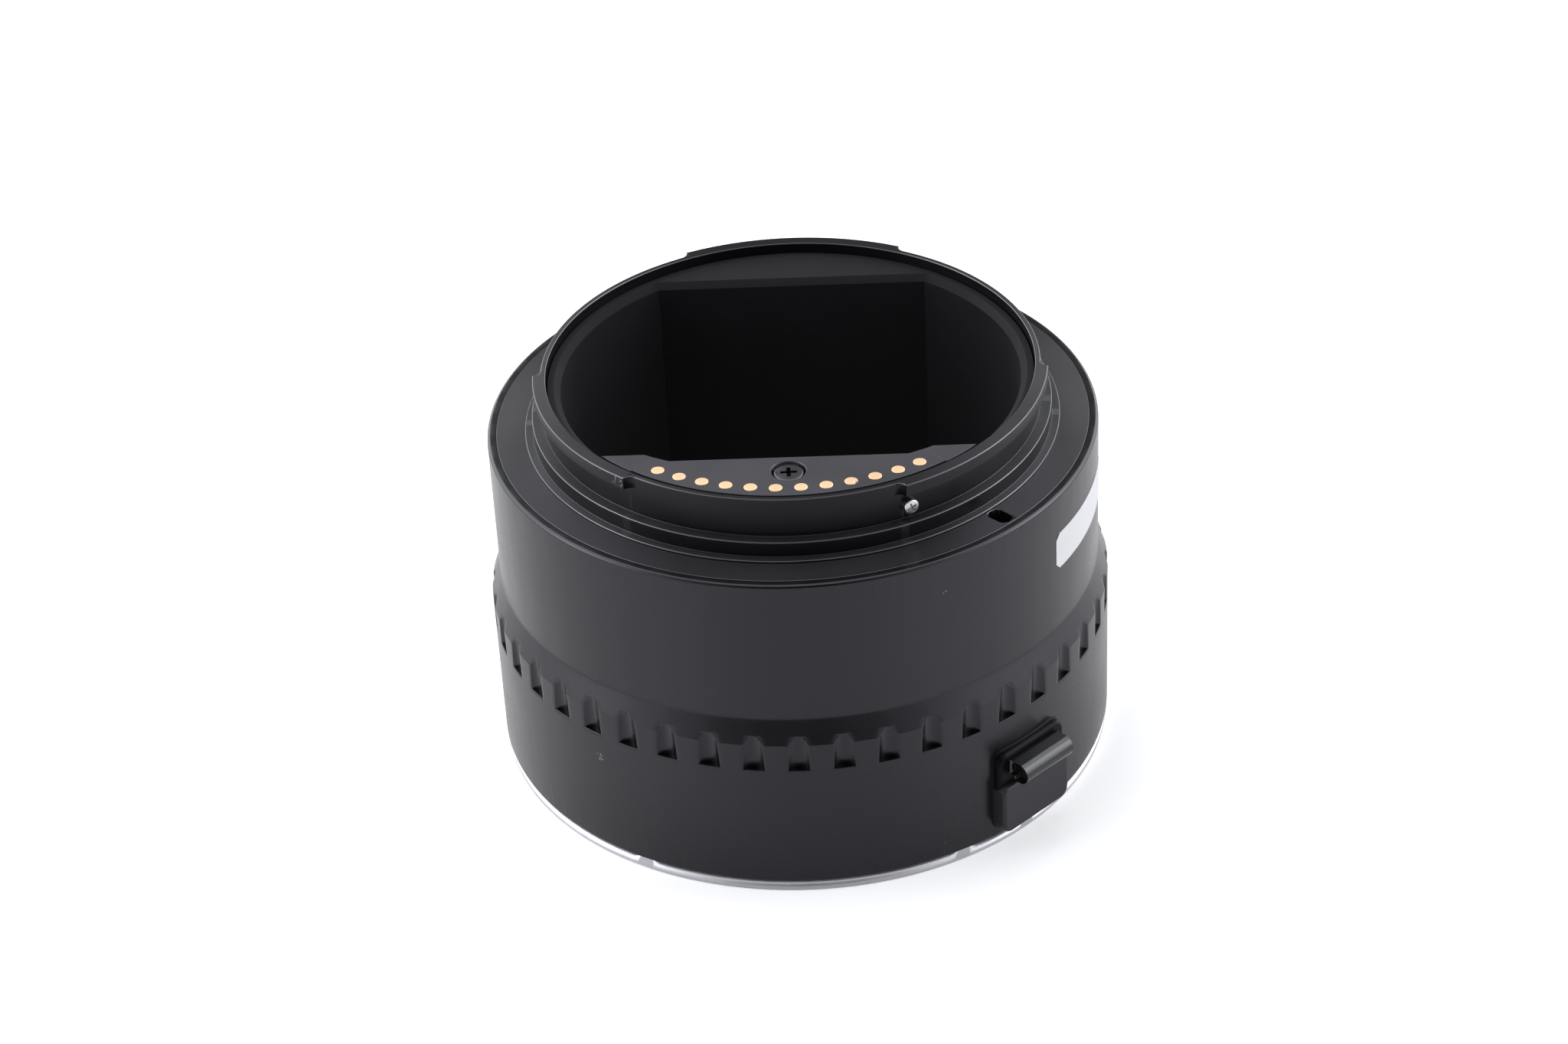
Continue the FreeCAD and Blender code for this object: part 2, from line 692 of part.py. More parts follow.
def camera_mount_screws():
    """The hidden screws that hold the camera side ring from inside the barrel."""
    screws = []
    seat = "(extension - plate_thick - inner_flange)"
    for i in range(int(SIZES["flange_screw_count"])):
        x, y = polar("flange_screw_circle", "%d * 360 / flange_screw_count" % i)
        name = "flange_screw_%d" % (i + 1)
        head = cylinder(name + "_head", "flange_screw_head", seat + " - flange_screw_head_height",
                        "flange_screw_head_height", x, y)
        shank = cylinder(name + "_shank", "flange_screw_shank", seat + " - 0.1",
                         "inner_flange + flange_screw_bite", x, y)
        screws.append(cut(name, join(name + "_blank", [head, shank]),
                          cross_recess(name, x, y, seat + " - flange_screw_head_height - 1", "1 + cross_depth",
                                       "%d * cross_turn" % i)))
    return group("camera_mount_screws", screws)


def light_tunnel():
    """The matt black tunnel between the two mounts, open where the image passes."""
    top = "(extension + bayonet_rise - shelf_drop)"
    low = "(collar_top + tunnel_seat)"
    outer = flattened("tunnel_outside", "tunnel_radius + tunnel_wall", "tunnel_far + tunnel_wall",
                      "tunnel_near + tunnel_wall", low, "%s - %s" % (top, low))
    shelf = cylinder("tunnel_shelf", "shelf_radius", top + " - shelf_thick", "shelf_thick")
    flange = cut("tunnel_foot", cylinder("tunnel_foot_disc", "tunnel_flange", low, "tunnel_flange_thick"),
                 [segment("tunnel_foot_gap", "lens_block_radius + block_fit", "tunnel_near + tunnel_wall",
                          low + " - 1", "tunnel_flange_thick + 2")])
    boss = cylinder("tunnel_boss", "block_boss", top + " - shelf_thick - block_boss_length", "block_boss_length + 0.5",
                    "0", "-block_screw_y")
    blank = join("tunnel_blank", [outer, shelf, flange, boss])
    tools = [flattened("tunnel_inside", "tunnel_radius", "tunnel_far", "tunnel_near", low + " - 1",
                       "%s - %s + 2" % (top, low))]
    seat = "(extension + bayonet_rise - block_drop - block_thick)"
    tools.append(segment("block_seat", "shelf_radius + 1", "ear_edge - 1", seat, "2"))
    tools.append(sector("root_slot", "root_inner - block_fit", "root_outer + block_fit", top + " - shelf_thick - 1",
                        "shelf_thick + 2", "-90 - root_angle - 0.3", "2 * root_angle + 0.6"))
    tools.append(cylinder("boss_thread", "block_screw_shank + screw_fit", seat + " - block_screw_length",
                          "block_screw_length + 1", "0", "-block_screw_y"))
    for i, side in enumerate(("-", "+")):
        x, y = polar("tab_screw_circle", "(-90 %s tab_angle)" % side)
        tools.append(cylinder("tab_thread_%d" % (i + 1), "small_screw_shank + screw_fit", low + " - 1",
                              "tunnel_flange_thick + 2", x, y))
    around = cone("bevel_cone", "tunnel_radius", "tunnel_radius + shelf_chamfer + 0.2", top + " - shelf_chamfer",
                  "shelf_chamfer + 0.2", "0", "0")
    slope = doc.addObject("Part::Wedge", "bevel_wedge")
    bind(slope, Xmin="-shelf_radius", Xmax="shelf_radius", X2min="-shelf_radius", X2max="shelf_radius",
         Ymin="0", Ymax="shelf_chamfer + 0.2", Zmin="-tunnel_far", Zmax="ear_edge",
         Z2min="-tunnel_far - shelf_chamfer - 0.2", Z2max="ear_edge")
    slope.Placement = FreeCAD.Placement(FreeCAD.Vector(), FreeCAD.Rotation(FreeCAD.Vector(1, 0, 0), 90))
    bind(slope, Placement__Base__z=top + " - shelf_chamfer")
    tools.append(shared("bevel", [around, slope]))
    return finish("light_tunnel", cut("tunnel_cut", blank, tools))


def contact_azimuth(i):
    """The azimuth of one of the contacts, counted from the left."""
    return "(-90 + (%d - (contact_count - 1) / 2) * contact_pitch)" % i


def camera_contact_block():
    """The insulating block that holds the gold contacts, with an ear at each end."""
    top = "(extension + bayonet_rise - block_drop)"
    seat = top + " - block_thick"
    plate = segment("block_plate", "block_radius", "ear_edge", seat, "block_thick")
    notch = doc.addObject("Part::Wedge", "block_notch")
    bind(notch, Xmin="-ear_start", Xmax="ear_start", X2min="-ear_end", X2max="ear_end",
         Ymin="0", Ymax="block_edge - ear_edge", Zmin="0", Zmax="block_thick + 2", Z2min="0", Z2max="block_thick + 2")
    place(notch, "0", "-block_edge", seat + " - 1")
    root = sector("block_root_arc", "root_inner", "root_outer", seat + " - block_root", "block_root + 0.2",
                  "-90 - root_angle", "2 * root_angle")
    tools = [notch]
    for i, side in enumerate(("-90 + ear_line", "-90 - ear_line - 30")):
        tools.append(cylinder("ear_step_%d" % (i + 1), "block_radius + 1", top + " - ear_drop", "ear_drop + 1",
                              start=side, span="30"))
    for i in range(int(SIZES["contact_count"])):
        x, y = polar("contact_circle", contact_azimuth(i))
        tools.append(cylinder("pad_seat_%d" % (i + 1), "pad_radius + screw_fit", top + " - pad_thick",
                              "pad_thick + 1", x, y))
        tools.append(cylinder("tail_hole_%d" % (i + 1), "pad_tail + screw_fit", seat + " - block_root - 1",
                              "block_root + 2", x, y))
    tools.append(cylinder("screw_recess", "block_screw_recess",
                          top + " - block_screw_sunk - block_screw_head_height",
                          "block_screw_sunk + block_screw_head_height + 1", "0", "-block_screw_y"))
    tools.append(cylinder("screw_hole", "block_screw_shank + block_fit", seat + " - 3", "6", "0", "-block_screw_y"))
    return finish("camera_contact_block", cut("block_cut", join("block_blank", [plate, root]), tools))


def contact_block_screw():
    """The cross-head screw in the middle of the contact block."""
    seat = "(extension + bayonet_rise - block_drop - block_screw_sunk - block_screw_head_height)"
    head = turned("block_screw_top", [
        ("0", seat),
        ("block_screw_head", seat),
        ("block_screw_head", seat + " + block_screw_head_height - edge_break"),
        ("block_screw_head - edge_break", seat + " + block_screw_head_height"),
        ("0", seat + " + block_screw_head_height"),
    ])
    bind(head, Placement__Base__y="-block_screw_y")
    shank = cylinder("block_screw_shaft", "block_screw_shank", seat + " - block_screw_length",
                     "block_screw_length + 0.1", "0", "-block_screw_y")
    recess = cross_recess("block_screw", "0", "-block_screw_y", seat + " + block_screw_head_height - cross_depth", "1",
                          "3")
    return finish("contact_block_screw", cut("block_screw_cut", join("block_screw_blank", [head, shank]), recess))


def contact_pads():
    """The twelve gold pads, each with the tail that reaches the flexible circuit."""
    top = "(extension + bayonet_rise - block_drop)"
    tail = "(extension + bayonet_rise - block_drop - block_thick - block_root - flex_gap)"
    for i in range(int(SIZES["contact_count"])):
        pad = turned("pad_%02d" % (i + 1), [
            ("0", tail),
            ("pad_tail", tail),
            ("pad_tail", top + " - pad_thick"),
            ("pad_radius", top + " - pad_thick"),
            ("pad_radius", top),
            ("pad_radius - pad_proud", top + " + pad_proud"),
            ("0", top + " + pad_proud"),
        ])
        x, y = polar("contact_circle", contact_azimuth(i))
        bind(pad, Placement__Base__x=x, Placement__Base__y=y)
        finish("contact_pad_%02d" % (i + 1), pad)


def contact_flex():
    """The flexible circuit that joins the camera side pads to the lens side pins."""
    high = "(extension + bayonet_rise - block_drop - block_thick - block_root - flex_gap - flex_thick)"
    upper = cut("flex_upper", segment("flex_upper_sheet", "root_outer", "flex_edge", high, "flex_thick"),
                [cylinder("flex_boss_hole", "block_boss + block_fit", high + " - 1", "3", "0", "-block_screw_y")])
    leg = box("flex_leg_sheet", "-flex_half_width", "-flex_leg", "lens_block_high", "2 * flex_half_width",
              "flex_thick", high + " - lens_block_high + flex_thick")
    lower = segment("flex_lower_sheet", "root_outer", "flex_edge", "lens_block_high", "flex_thick")
    return finish("contact_flex", join("flex_folded", [upper, leg, lower]))


def lens_contact_block():
    """The insulating block that carries the sprung pins on the lens side."""
    plate = segment("lens_block_body", "lens_block_radius", "lens_block_edge", "lens_block_low",
                    "lens_block_high - lens_block_low")
    seat = "(collar_top + tunnel_seat + tunnel_flange_thick)"
    pieces = [plate]
    tools = []
    for i, side in enumerate(("-", "+")):
        middle = "(-90 %s tab_angle)" % side
        pieces.append(sector("tab_%d" % (i + 1), "lens_block_radius - 0.4", "tab_outer", seat, "tab_thick",
                             middle + " - tab_half_angle", "2 * tab_half_angle"))
        x, y = polar("tab_screw_circle", middle)
        tools.append(cylinder("tab_hole_%d" % (i + 1), "small_screw_shank + screw_fit", seat + " - 1",
                              "tab_thick + 2", x, y))
    for i in range(int(SIZES["contact_count"])):
        x, y = polar("contact_circle", contact_azimuth(i))
        tools.append(cylinder("pin_guide_%d" % (i + 1), "pin_tip + pin_fit", "lens_block_low - 1",
                              "lens_block_high - lens_block_low + 2", x, y))
        tools.append(cylinder("pin_room_%d" % (i + 1), "pin_collar + pin_fit", "pin_collar_low",
                              "lens_block_high - pin_collar_low + 1", x, y))
    return finish("lens_contact_block", cut("lens_block_cut", join("lens_block_blank", pieces), tools))


def contact_pins():
    """The twelve sprung pins that press on a lens's contacts."""
    for i in range(int(SIZES["contact_count"])):
        pin = turned("pin_%02d" % (i + 1), [
            ("0", "pin_tip_low"),
            ("pin_tip - pin_round", "pin_tip_low"),
            ("pin_tip", "pin_tip_low + pin_round"),
            ("pin_tip", "pin_collar_low"),
            ("pin_collar", "pin_collar_low"),
            ("pin_collar", "pin_collar_low + pin_collar_thick"),
            ("0", "pin_collar_low + pin_collar_thick"),
        ])
        x, y = polar("contact_circle", contact_azimuth(i))
        bind(pin, Placement__Base__x=x, Placement__Base__y=y)
        finish("contact_pin_%02d" % (i + 1), pin)


def small_screw(name, x, y, seat):
    """A small cheese-head screw standing on a seat."""
    head = cylinder(name + "_head", "small_screw_head", seat, "small_screw_head_height", x, y)
    shank = cylinder(name + "_shank", "small_screw_shank", seat + " - small_screw_length",
                     "small_screw_length + 0.1", x, y)
    slot = box(name + "_slot", "(%s) - small_screw_head" % x, "(%s) - cross_width / 2" % y,
               seat + " + small_screw_head_height / 2", "2 * small_screw_head", "cross_width", "1")
    return cut(name, join(name + "_blank", [head, shank]), [slot])


def lens_block_screws():
    """The two screws that hold the lens side contact block."""
    seat = "(collar_top + tunnel_seat + tunnel_flange_thick + tab_thick)"
    screws = []
    for i, side in enumerate(("-", "+")):
        x, y = polar("tab_screw_circle", "(-90 %s tab_angle)" % side)
        screws.append(small_screw("tab_screw_%d" % (i + 1), x, y, seat))
    return group("lens_block_screws", screws)


def bracket_screws():
    """The two screws that hold the lock bracket on the shoulder of the barrel."""
    screws = []
    for i, side in enumerate(("-", "+")):
        x, y = polar("(bracket_inner + bracket_outer) / 2", foot_middle(side))
        screws.append(small_screw("foot_screw_%d" % (i + 1), x, y, "(shoulder_top + bridge_thick)"))
    return group("bracket_screws", screws)


def lock_bracket():
    """The bridge over the lock pin that guides it and holds its spring down."""
    rise = "bridge_low + bridge_thick - shoulder_top"
    arch = sector("bracket_arch", "bracket_inner", "bracket_outer", "shoulder_top", rise,
                  "release_azimuth - bracket_half_angle", "2 * bracket_half_angle")
    under = sector("bracket_under", "bracket_inner - 1", "bracket_outer + 1", "shoulder_top - 1",
                   "bridge_low - shoulder_top + 1", "release_azimuth - bracket_half_angle + bracket_wall_angle",
                   "2 * (bracket_half_angle - bracket_wall_angle)")
    pieces = [cut("bracket_bridge", arch, [under])]
    x, y = polar("lock_circle", "release_azimuth")
    tools = [cylinder("stem_guide", "lock_stem + lock_fit", "bridge_low - 1", "bridge_thick + 2", x, y)]
    for i, side in enumerate(("-", "+")):
        middle = foot_middle(side)
        pieces.append(sector("bracket_foot_%d" % (i + 1), "bracket_inner", "bracket_outer", "shoulder_top",
                             "bridge_thick", middle + " - foot_angle / 2 - 0.2", "foot_angle + 0.4"))
        x, y = polar("(bracket_inner + bracket_outer) / 2", middle)
        tools.append(cylinder("foot_hole_%d" % (i + 1), "small_screw_shank + screw_fit", "shoulder_top - 1",
                              "bridge_thick + 2", x, y))
    return finish("lock_bracket", cut("bracket_drilled", join("bracket_blank", pieces), tools))


def lock_pin():
    """The pin that locks a lens, with the collar that the slider lifts it by."""
    pin = turned("lock_pin_turned", [
        ("0", "0"),
        ("lock_radius - face_break", "0"),
        ("lock_radius", "face_break"),
        ("lock_radius", "tongue_low - lock_collar_thick"),
        ("lock_collar", "tongue_low - lock_collar_thick"),
        ("lock_collar", "tongue_low"),
        ("lock_stem", "tongue_low"),
        ("lock_stem", "lock_top"),
        ("0", "lock_top"),
    ])
    x, y = polar("lock_circle", "release_azimuth")
    bind(pin, Placement__Base__x=x, Placement__Base__y=y)
    return finish("lock_pin", pin)


def release_slider():
    """The slider that a finger lifts: slab, half-round ridge and the tongue that carries the lock pin."""
    side = "release_azimuth"
    slab = rounded("slab_round", spoke_box("slab", side, "boss_shelf + slab_fit", "slab_face", "slab_half_width",
                                           "slab_low", "slab_high"), SIZES["slab_round"],
                   lambda edge: abs(spoke_frame(edge.Vertexes[0].Point)[0]
                                    - spoke_frame(edge.Vertexes[-1].Point)[0]) > 0.5)
    bar = doc.addObject("Part::Cylinder", "ridge_bar")
    bind(bar, Radius="ridge_radius", Height="2 * ridge_half_width")
    angle = math.radians(SIZES["release_azimuth"])
    bar.Placement = FreeCAD.Placement(FreeCAD.Vector(), FreeCAD.Rotation(
        FreeCAD.Vector(0, 0, 1), FreeCAD.Vector(-math.sin(angle), math.cos(angle), 0)))
    middle = "(ridge_crest - ridge_radius)"
    bind(bar, Placement__Base__x="%s * cos(%s) + ridge_half_width * sin(%s)" % (middle, side, side),
         Placement__Base__y="%s * sin(%s) - ridge_half_width * cos(%s)" % (middle, side, side),
         Placement__Base__z="ridge_middle")
    front = spoke_box("ridge_front", side, "ridge_back", "ridge_crest + 1", "ridge_half_width + 1",
                      "ridge_middle - ridge_radius - 1", "ridge_middle + ridge_radius + 1")
    ridge = rounded("ridge_round", shared("ridge", [bar, front]), SIZES["ridge_edge"],
                    lambda edge: edge.Curve.TypeId == "Part::GeomCircle")
    neck = spoke_box("ridge_neck", side, "slab_face - 0.1", "ridge_back + 0.2", "ridge_half_width - 0.2",
                     "slab_low + 0.2", "slab_high - 0.2")
    tongue = spoke_box("tongue", side, "tongue_end", "boss_shelf + slab_fit + 0.2", "tongue_half_width",
                       "tongue_low", "tongue_high")
    x, y = polar("lock_circle", side)
    eye = cylinder("tongue_eye", "lock_stem + screw_fit", "tongue_low - 1", "tongue_high - tongue_low + 2", x, y)
    return finish("release_slider", cut("slider_cut", join("slider_blank", [slab, ridge, neck, tongue]), [eye]))


def coil(name, mean, wire, low, high, turns, steps, sides, azimuth, circle):
    """A compression spring: a wire of a few flat sides wound in straight steps."""
    rise = (high - low - 2 * wire) / turns
    foot = FreeCAD.Vector(0, 0, low + wire)
    rings = []
    for step in range(int(turns * steps) + 1):
        turned_by = 2 * math.pi * step / steps
        out = FreeCAD.Vector(math.cos(turned_by), math.sin(turned_by), 0)
        along = FreeCAD.Vector(-math.sin(turned_by), math.cos(turned_by), rise / (2 * math.pi * mean))
        across = along.cross(out).normalize()
        middle = foot + out * mean + FreeCAD.Vector(0, 0, rise * step / steps)
        corners = [2 * math.pi * side / sides for side in range(sides)]
        rings.append([middle + out * (wire * math.cos(c)) + across * (wire * math.sin(c)) for c in corners])
    faces = [Part.Face(Part.makePolygon(ring + ring[:1])) for ring in (rings[0], rings[-1])]
    for ring, after in zip(rings, rings[1:]):
        for side in range(sides):
            other = (side + 1) % sides
            faces.append(Part.Face(Part.makePolygon([ring[side], ring[other], after[other], ring[side]])))
            faces.append(Part.Face(Part.makePolygon([ring[side], after[other], after[side], ring[side]])))
    shell = Part.Shell(faces)
    shell.sewShape()
    spring = doc.addObject("Part::Feature", name)
    spring.Shape = Part.Solid(shell)
    x, y = polar(circle, azimuth)
    return bind(spring, Placement__Base__x=x, Placement__Base__y=y)


def springs():
    """The spring that drives the lock pin out and the small ones behind the contact pins."""
    finish("lock_spring", coil("lock_coil_wound", SIZES["lock_coil"], SIZES["lock_wire"], SIZES["tongue_high"],
                               SIZES["bridge_low"], SIZES["lock_turns"], 14, 6, "release_azimuth", "lock_circle"))
    low = SIZES["pin_collar_low"] + SIZES["pin_collar_thick"]
    coils = []
    for i in range(int(SIZES["contact_count"])):
        coils.append(coil("contact_coil_%02d" % (i + 1), SIZES["pin_collar"] - 2 * SIZES["coil_wire"],
                          SIZES["coil_wire"], low, SIZES["lens_block_high"], SIZES["contact_turns"], 8, 4,
                          contact_azimuth(i), "contact_circle"))
    group("contact_springs", coils)


def claw_springs():
    """The three leaf springs on the backs of the claws that pull a lens home."""
    names = ("lug_back", "lug_left", "lug_right")
    for i, name in enumerate(names):
        after = names[(i + 1) % 3]
        turn_end = "%s_start - turn_to_lock + %s_span + claw_gap" % (name, name)
        next_start = "%s_start - turn_to_lock - claw_gap%s" % (after, " + 360" if i == 2 else "")
        middle = "((%s + %s) / 2)" % (turn_end, next_start)
        finish("claw_spring_%d" % (i + 1), sector("leaf_%d" % (i + 1), "claw_bore + leaf_fit", "leaf_outer",
                                                  "claw_high", "leaf_thick", middle + " - leaf_half_angle",
                                                  "2 * leaf_half_angle"))


def check_and_write():
    """Stop if any object failed, then write each finished piece to its own file."""
    doc.recompute()
    for item in doc.Objects:
        if "Invalid" in item.State or "Error" in item.State:
            raise RuntimeError("%s is %s" % (item.Label, item.State))
    for label, solid in finished.items():
        shape = solid.Shape
        if shape.isNull() or not shape.isValid():
            raise RuntimeError("%s has no valid shape" % label)
        shape.exportStep("parts/%s.step" % label)
        print("%-22s %d solid(s) %10.3f mm3" % (label, len(shape.Solids), shape.Volume))


camera_mount_ring()
stop_pin()
barrel()
lens_mount_ring()
lens_mount_screws()
camera_mount_screws()
light_tunnel()
camera_contact_block()
contact_block_screw()
contact_pads()
contact_flex()
lens_contact_block()
contact_pins()
lens_block_screws()
lock_bracket()
bracket_screws()
lock_pin()
release_slider()
springs()
claw_springs()
check_and_write()
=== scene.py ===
"""Looks of a macro extension tube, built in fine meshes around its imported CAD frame.

Sizes are in millimetres in the object's own frame: +Z along the optical axis towards the camera
side, the row of contacts towards -Y, the origin in the face that a lens is locked against.
"""

import logging
import math
from dataclasses import dataclass, field
from enum import Enum
from typing import Callable, Iterable, Sequence

import bmesh
import bpy
from mathutils import Matrix, Vector

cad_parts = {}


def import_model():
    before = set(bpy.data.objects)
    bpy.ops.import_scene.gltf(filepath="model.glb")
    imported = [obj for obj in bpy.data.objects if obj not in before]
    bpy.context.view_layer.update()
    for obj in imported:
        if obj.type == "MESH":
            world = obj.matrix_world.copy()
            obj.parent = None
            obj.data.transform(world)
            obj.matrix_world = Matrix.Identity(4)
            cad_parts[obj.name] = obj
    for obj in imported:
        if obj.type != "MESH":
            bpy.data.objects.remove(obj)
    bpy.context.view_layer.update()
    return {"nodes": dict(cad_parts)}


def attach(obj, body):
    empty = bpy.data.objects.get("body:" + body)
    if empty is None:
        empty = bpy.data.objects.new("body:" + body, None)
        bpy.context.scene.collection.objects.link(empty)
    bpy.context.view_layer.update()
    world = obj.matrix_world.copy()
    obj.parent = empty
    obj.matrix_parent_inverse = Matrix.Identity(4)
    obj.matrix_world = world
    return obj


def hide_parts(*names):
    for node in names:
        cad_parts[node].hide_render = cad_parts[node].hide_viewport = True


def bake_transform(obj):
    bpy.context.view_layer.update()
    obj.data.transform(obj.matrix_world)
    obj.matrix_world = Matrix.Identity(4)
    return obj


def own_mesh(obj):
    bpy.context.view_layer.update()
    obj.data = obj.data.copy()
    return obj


MM = 0.001
LOG = logging.getLogger("extension_tube")
Pair = tuple[float, float]
Triple = tuple[float, float, float]
Colour = tuple[float, float, float]
Rows = list[list[Triple]]


class Body(Enum):
    """The rigid bodies that pieces ride on."""

    TUBE = "tube"
    RELEASE = "release"


class Slot(Enum):
    """The record's material slots."""

    BARREL = "black_anodised"
    MOUNT = "mount_black"
    SILVER = "silver"
    STEEL = "steel"
    SPRING = "spring_steel"
    TUNNEL = "tunnel_black"
    BLOCK = "block_black"
    BLACK_SCREW = "screw_black"
    FLEX = "flex_amber"
    GOLD = "gold"
    SLIDER = "slider_black"


# Shapes


def polar(radius: float, azimuth: float, z: float = 0.0) -> Triple:
    """A point at a radius and an azimuth in degrees."""
    angle = math.radians(azimuth)
    return radius * math.cos(angle), radius * math.sin(angle), z


def soften(corners: Sequence[Sequence[float]], radius: float, steps: int = 3) -> list[Pair]:
    """Round the corners of a closed outline.

    Args:
        corners: points of the outline; a third number is that corner's own radius.
        radius: the radius of the corners that have none of their own.
        steps: how many facets each round corner gets.

    Returns:
        The points of the rounded outline, in the same order.
    """
    result: list[Pair] = []
    count = len(corners)
    for i, corner in enumerate(corners):
        here = Vector(corner[:2])
        before, after = Vector(corners[i - 1][:2]) - here, Vector(corners[(i + 1) % count][:2]) - here
        wanted = corner[2] if len(corner) > 2 else radius
        turn = math.pi - before.angle(after)
        if wanted <= 0 or turn < 0.02:
            result.append((here.x, here.y))
            continue
        reach = min(wanted * math.tan(turn / 2), 0.48 * min(before.length, after.length))
        bend = reach / math.tan(turn / 2)
        start, end = here + before.normalized() * reach, here + after.normalized() * reach
        middle = here + (before.normalized() + after.normalized()).normalized() * (bend / math.cos(turn / 2))
        first, last = (start - middle).normalized(), (end - middle).normalized()
        for k in range(steps + 1):
            spoke = middle + first.slerp(last, k / steps) * bend
            result.append((spoke.x, spoke.y))
    return result


def rows_of_outline(outline: Sequence[Pair], profile: Sequence[Pair]) -> Rows:
    """Copies of a closed plan outline, moved outwards and upwards.

    Args:
        outline: the plan outline, counter-clockwise.
        profile: (offset, z) of each copy.

    Returns:
        One row of points for each entry of the profile.
    """
    count = len(outline)
    normals = []
    for i in range(count):
        a, b = Vector(outline[i - 1]), Vector(outline[(i + 1) % count])
        along = (b - a).normalized()
        normals.append(Vector((along.y, -along.x)))
    return [[(p[0] + n.x * offset, p[1] + n.y * offset, z) for p, n in zip(outline, normals)]
            for offset, z in profile]


class Form:
    """A mesh in the making, in millimetres."""

    def __init__(self) -> None:
        """Start with nothing."""
        self.points: list[Triple] = []
        self.faces: list[tuple[int, ...]] = []

    def row(self, points: Iterable[Triple]) -> list[int]:
        """Add points and give their numbers.

        Args:
            points: the points.

        Returns:
            Their numbers.
        """
        first = len(self.points)
        self.points.extend(points)
        return list(range(first, len(self.points)))

    def skin(self, rows: Rows, around: bool = True, back: bool = False) -> list[list[int]]:
        """Join rows of equal length with four-sided faces.

        Args:
            rows: the rows of points.
            around: whether each row closes on itself.
            back: whether the last row joins the first.

        Returns:
            The point numbers of every row.
        """
        numbers = [self.row(points) for points in rows]
        pairs = list(zip(numbers, numbers[1:])) + ([(numbers[-1], numbers[0])] if back else [])
        width = len(rows[0])
        for low, high in pairs:
            for i in range(width if around else width - 1):
                j = (i + 1) % width
                self.faces.append((low[i], low[j], high[j], high[i]))
        return numbers

    def cap(self, numbers: Sequence[int]) -> None:
        """Close a row with one face."""
        self.faces.append(tuple(numbers))

    def close(self, numbers: Sequence[Sequence[int]]) -> "Form":
        """Close the first and the last of some rows with a face each.

        Args:
            numbers: the point numbers of the rows.

        Returns:
            This form.
        """
        self.cap(numbers[0])
        self.cap(numbers[-1][::-1])
        return self

    def place(self, move: Callable[[Triple], Triple]) -> "Form":
        """Move every point."""
        self.points = [move(point) for point in self.points]
        return self

    def add(self, other: "Form") -> "Form":
        """Take in another form.

        Args:
            other: the form whose points and faces are added.

        Returns:
            This form.
        """
        shift = len(self.points)
        self.points.extend(other.points)
        self.faces.extend(tuple(n + shift for n in face) for face in other.faces)
        return self

    def build(self, name: str, sharp: float = 50.0) -> bpy.types.Object:
        """Make the object, in metres, with smooth faces and kept sharp edges.

        Args:
            name: the piece's name.
            sharp: edges that turn by more degrees than this stay sharp.

        Returns:
            The new object.
        """
        mesh = bpy.data.meshes.new(name)
        mesh.from_pydata([(x * MM, y * MM, z * MM) for x, y, z in self.points], [], self.faces)
        work = bmesh.new()
        work.from_mesh(mesh)
        bmesh.ops.remove_doubles(work, verts=work.verts, dist=1e-7)
        bmesh.ops.recalc_face_normals(work, faces=work.faces)
        work.to_mesh(mesh)
        work.free()
        piece = bpy.data.objects.new(name, mesh)
        bpy.context.scene.collection.objects.link(piece)
        smooth(piece, sharp)
        return piece


def smooth(piece: bpy.types.Object, sharp: float = 50.0) -> bpy.types.Object:
    """Shade a piece smooth with area-weighted normals, and keep edges above an angle sharp.

    Args:
        piece: the piece.
        sharp: edges that turn by more degrees than this stay sharp.

    Returns:
        The piece.
    """
    piece.data.shade_smooth()
    piece.data.set_sharp_from_angle(angle=math.radians(sharp))
    weigh = piece.modifiers.new("weigh", "WEIGHTED_NORMAL")
    weigh.keep_sharp = True
    weigh.weight = 100
    return piece


def carve(piece: bpy.types.Object, tool: bpy.types.Object, sharp: float) -> bpy.types.Object:
    """Cut a tool out of a piece for good, and drop the tool.

    Args:
        piece: the piece that is cut.
        tool: the closed mesh that is taken out of it.
        sharp: edges that turn by more degrees than this stay sharp.

    Returns:
        The piece.
    """
    piece.modifiers.clear()
    cut = piece.modifiers.new("cut", "BOOLEAN")
    cut.operation = "DIFFERENCE"
    cut.solver = "EXACT"
    cut.object = tool
    bpy.context.view_layer.update()
    view = piece.evaluated_get(bpy.context.evaluated_depsgraph_get())
    mesh = bpy.data.meshes.new_from_object(view)
    piece.modifiers.clear()
    piece.data = mesh
    bpy.data.objects.remove(tool)
    return smooth(piece, sharp)


def quarter(steps: int, first: int = 0) -> list[float]:
    """The angles of a quarter turn in equal steps, from one of its steps on."""
    return [math.pi / 2 * k / steps for k in range(first, steps + 1)]


def round_over(radius: float, top: float, edge: float, steps: int, first: int = 0) -> list[Pair]:
    """An edge rounded from its wall, at a radius, to its face, at a height, as (radius, z)."""
    turns = quarter(steps, first)
    return [(radius - edge * (1 - math.cos(a)), top - edge * (1 - math.sin(a))) for a in turns]


def lathed(profile: Sequence[Pair], segments: int, axis: Pair) -> Rows:
    """The rows of points of a profile of (radius, z) turned about an upright axis."""
    spokes = [2 * math.pi * i / segments for i in range(segments)]
    return [[(axis[0] + r * math.cos(a), axis[1] + r * math.sin(a), z) for a in spokes] for r, z in profile]


def turned(profile: Sequence[Pair], segments: int = 360) -> Form:
    """A closed profile turned about the optical axis.

    Args:
        profile: points of (radius, z), which close on themselves.
        segments: how many facets it has around.

    Returns:
        The form.
    """
    form = Form()
    form.skin(lathed(profile, segments, (0.0, 0.0)), back=True)
    return form


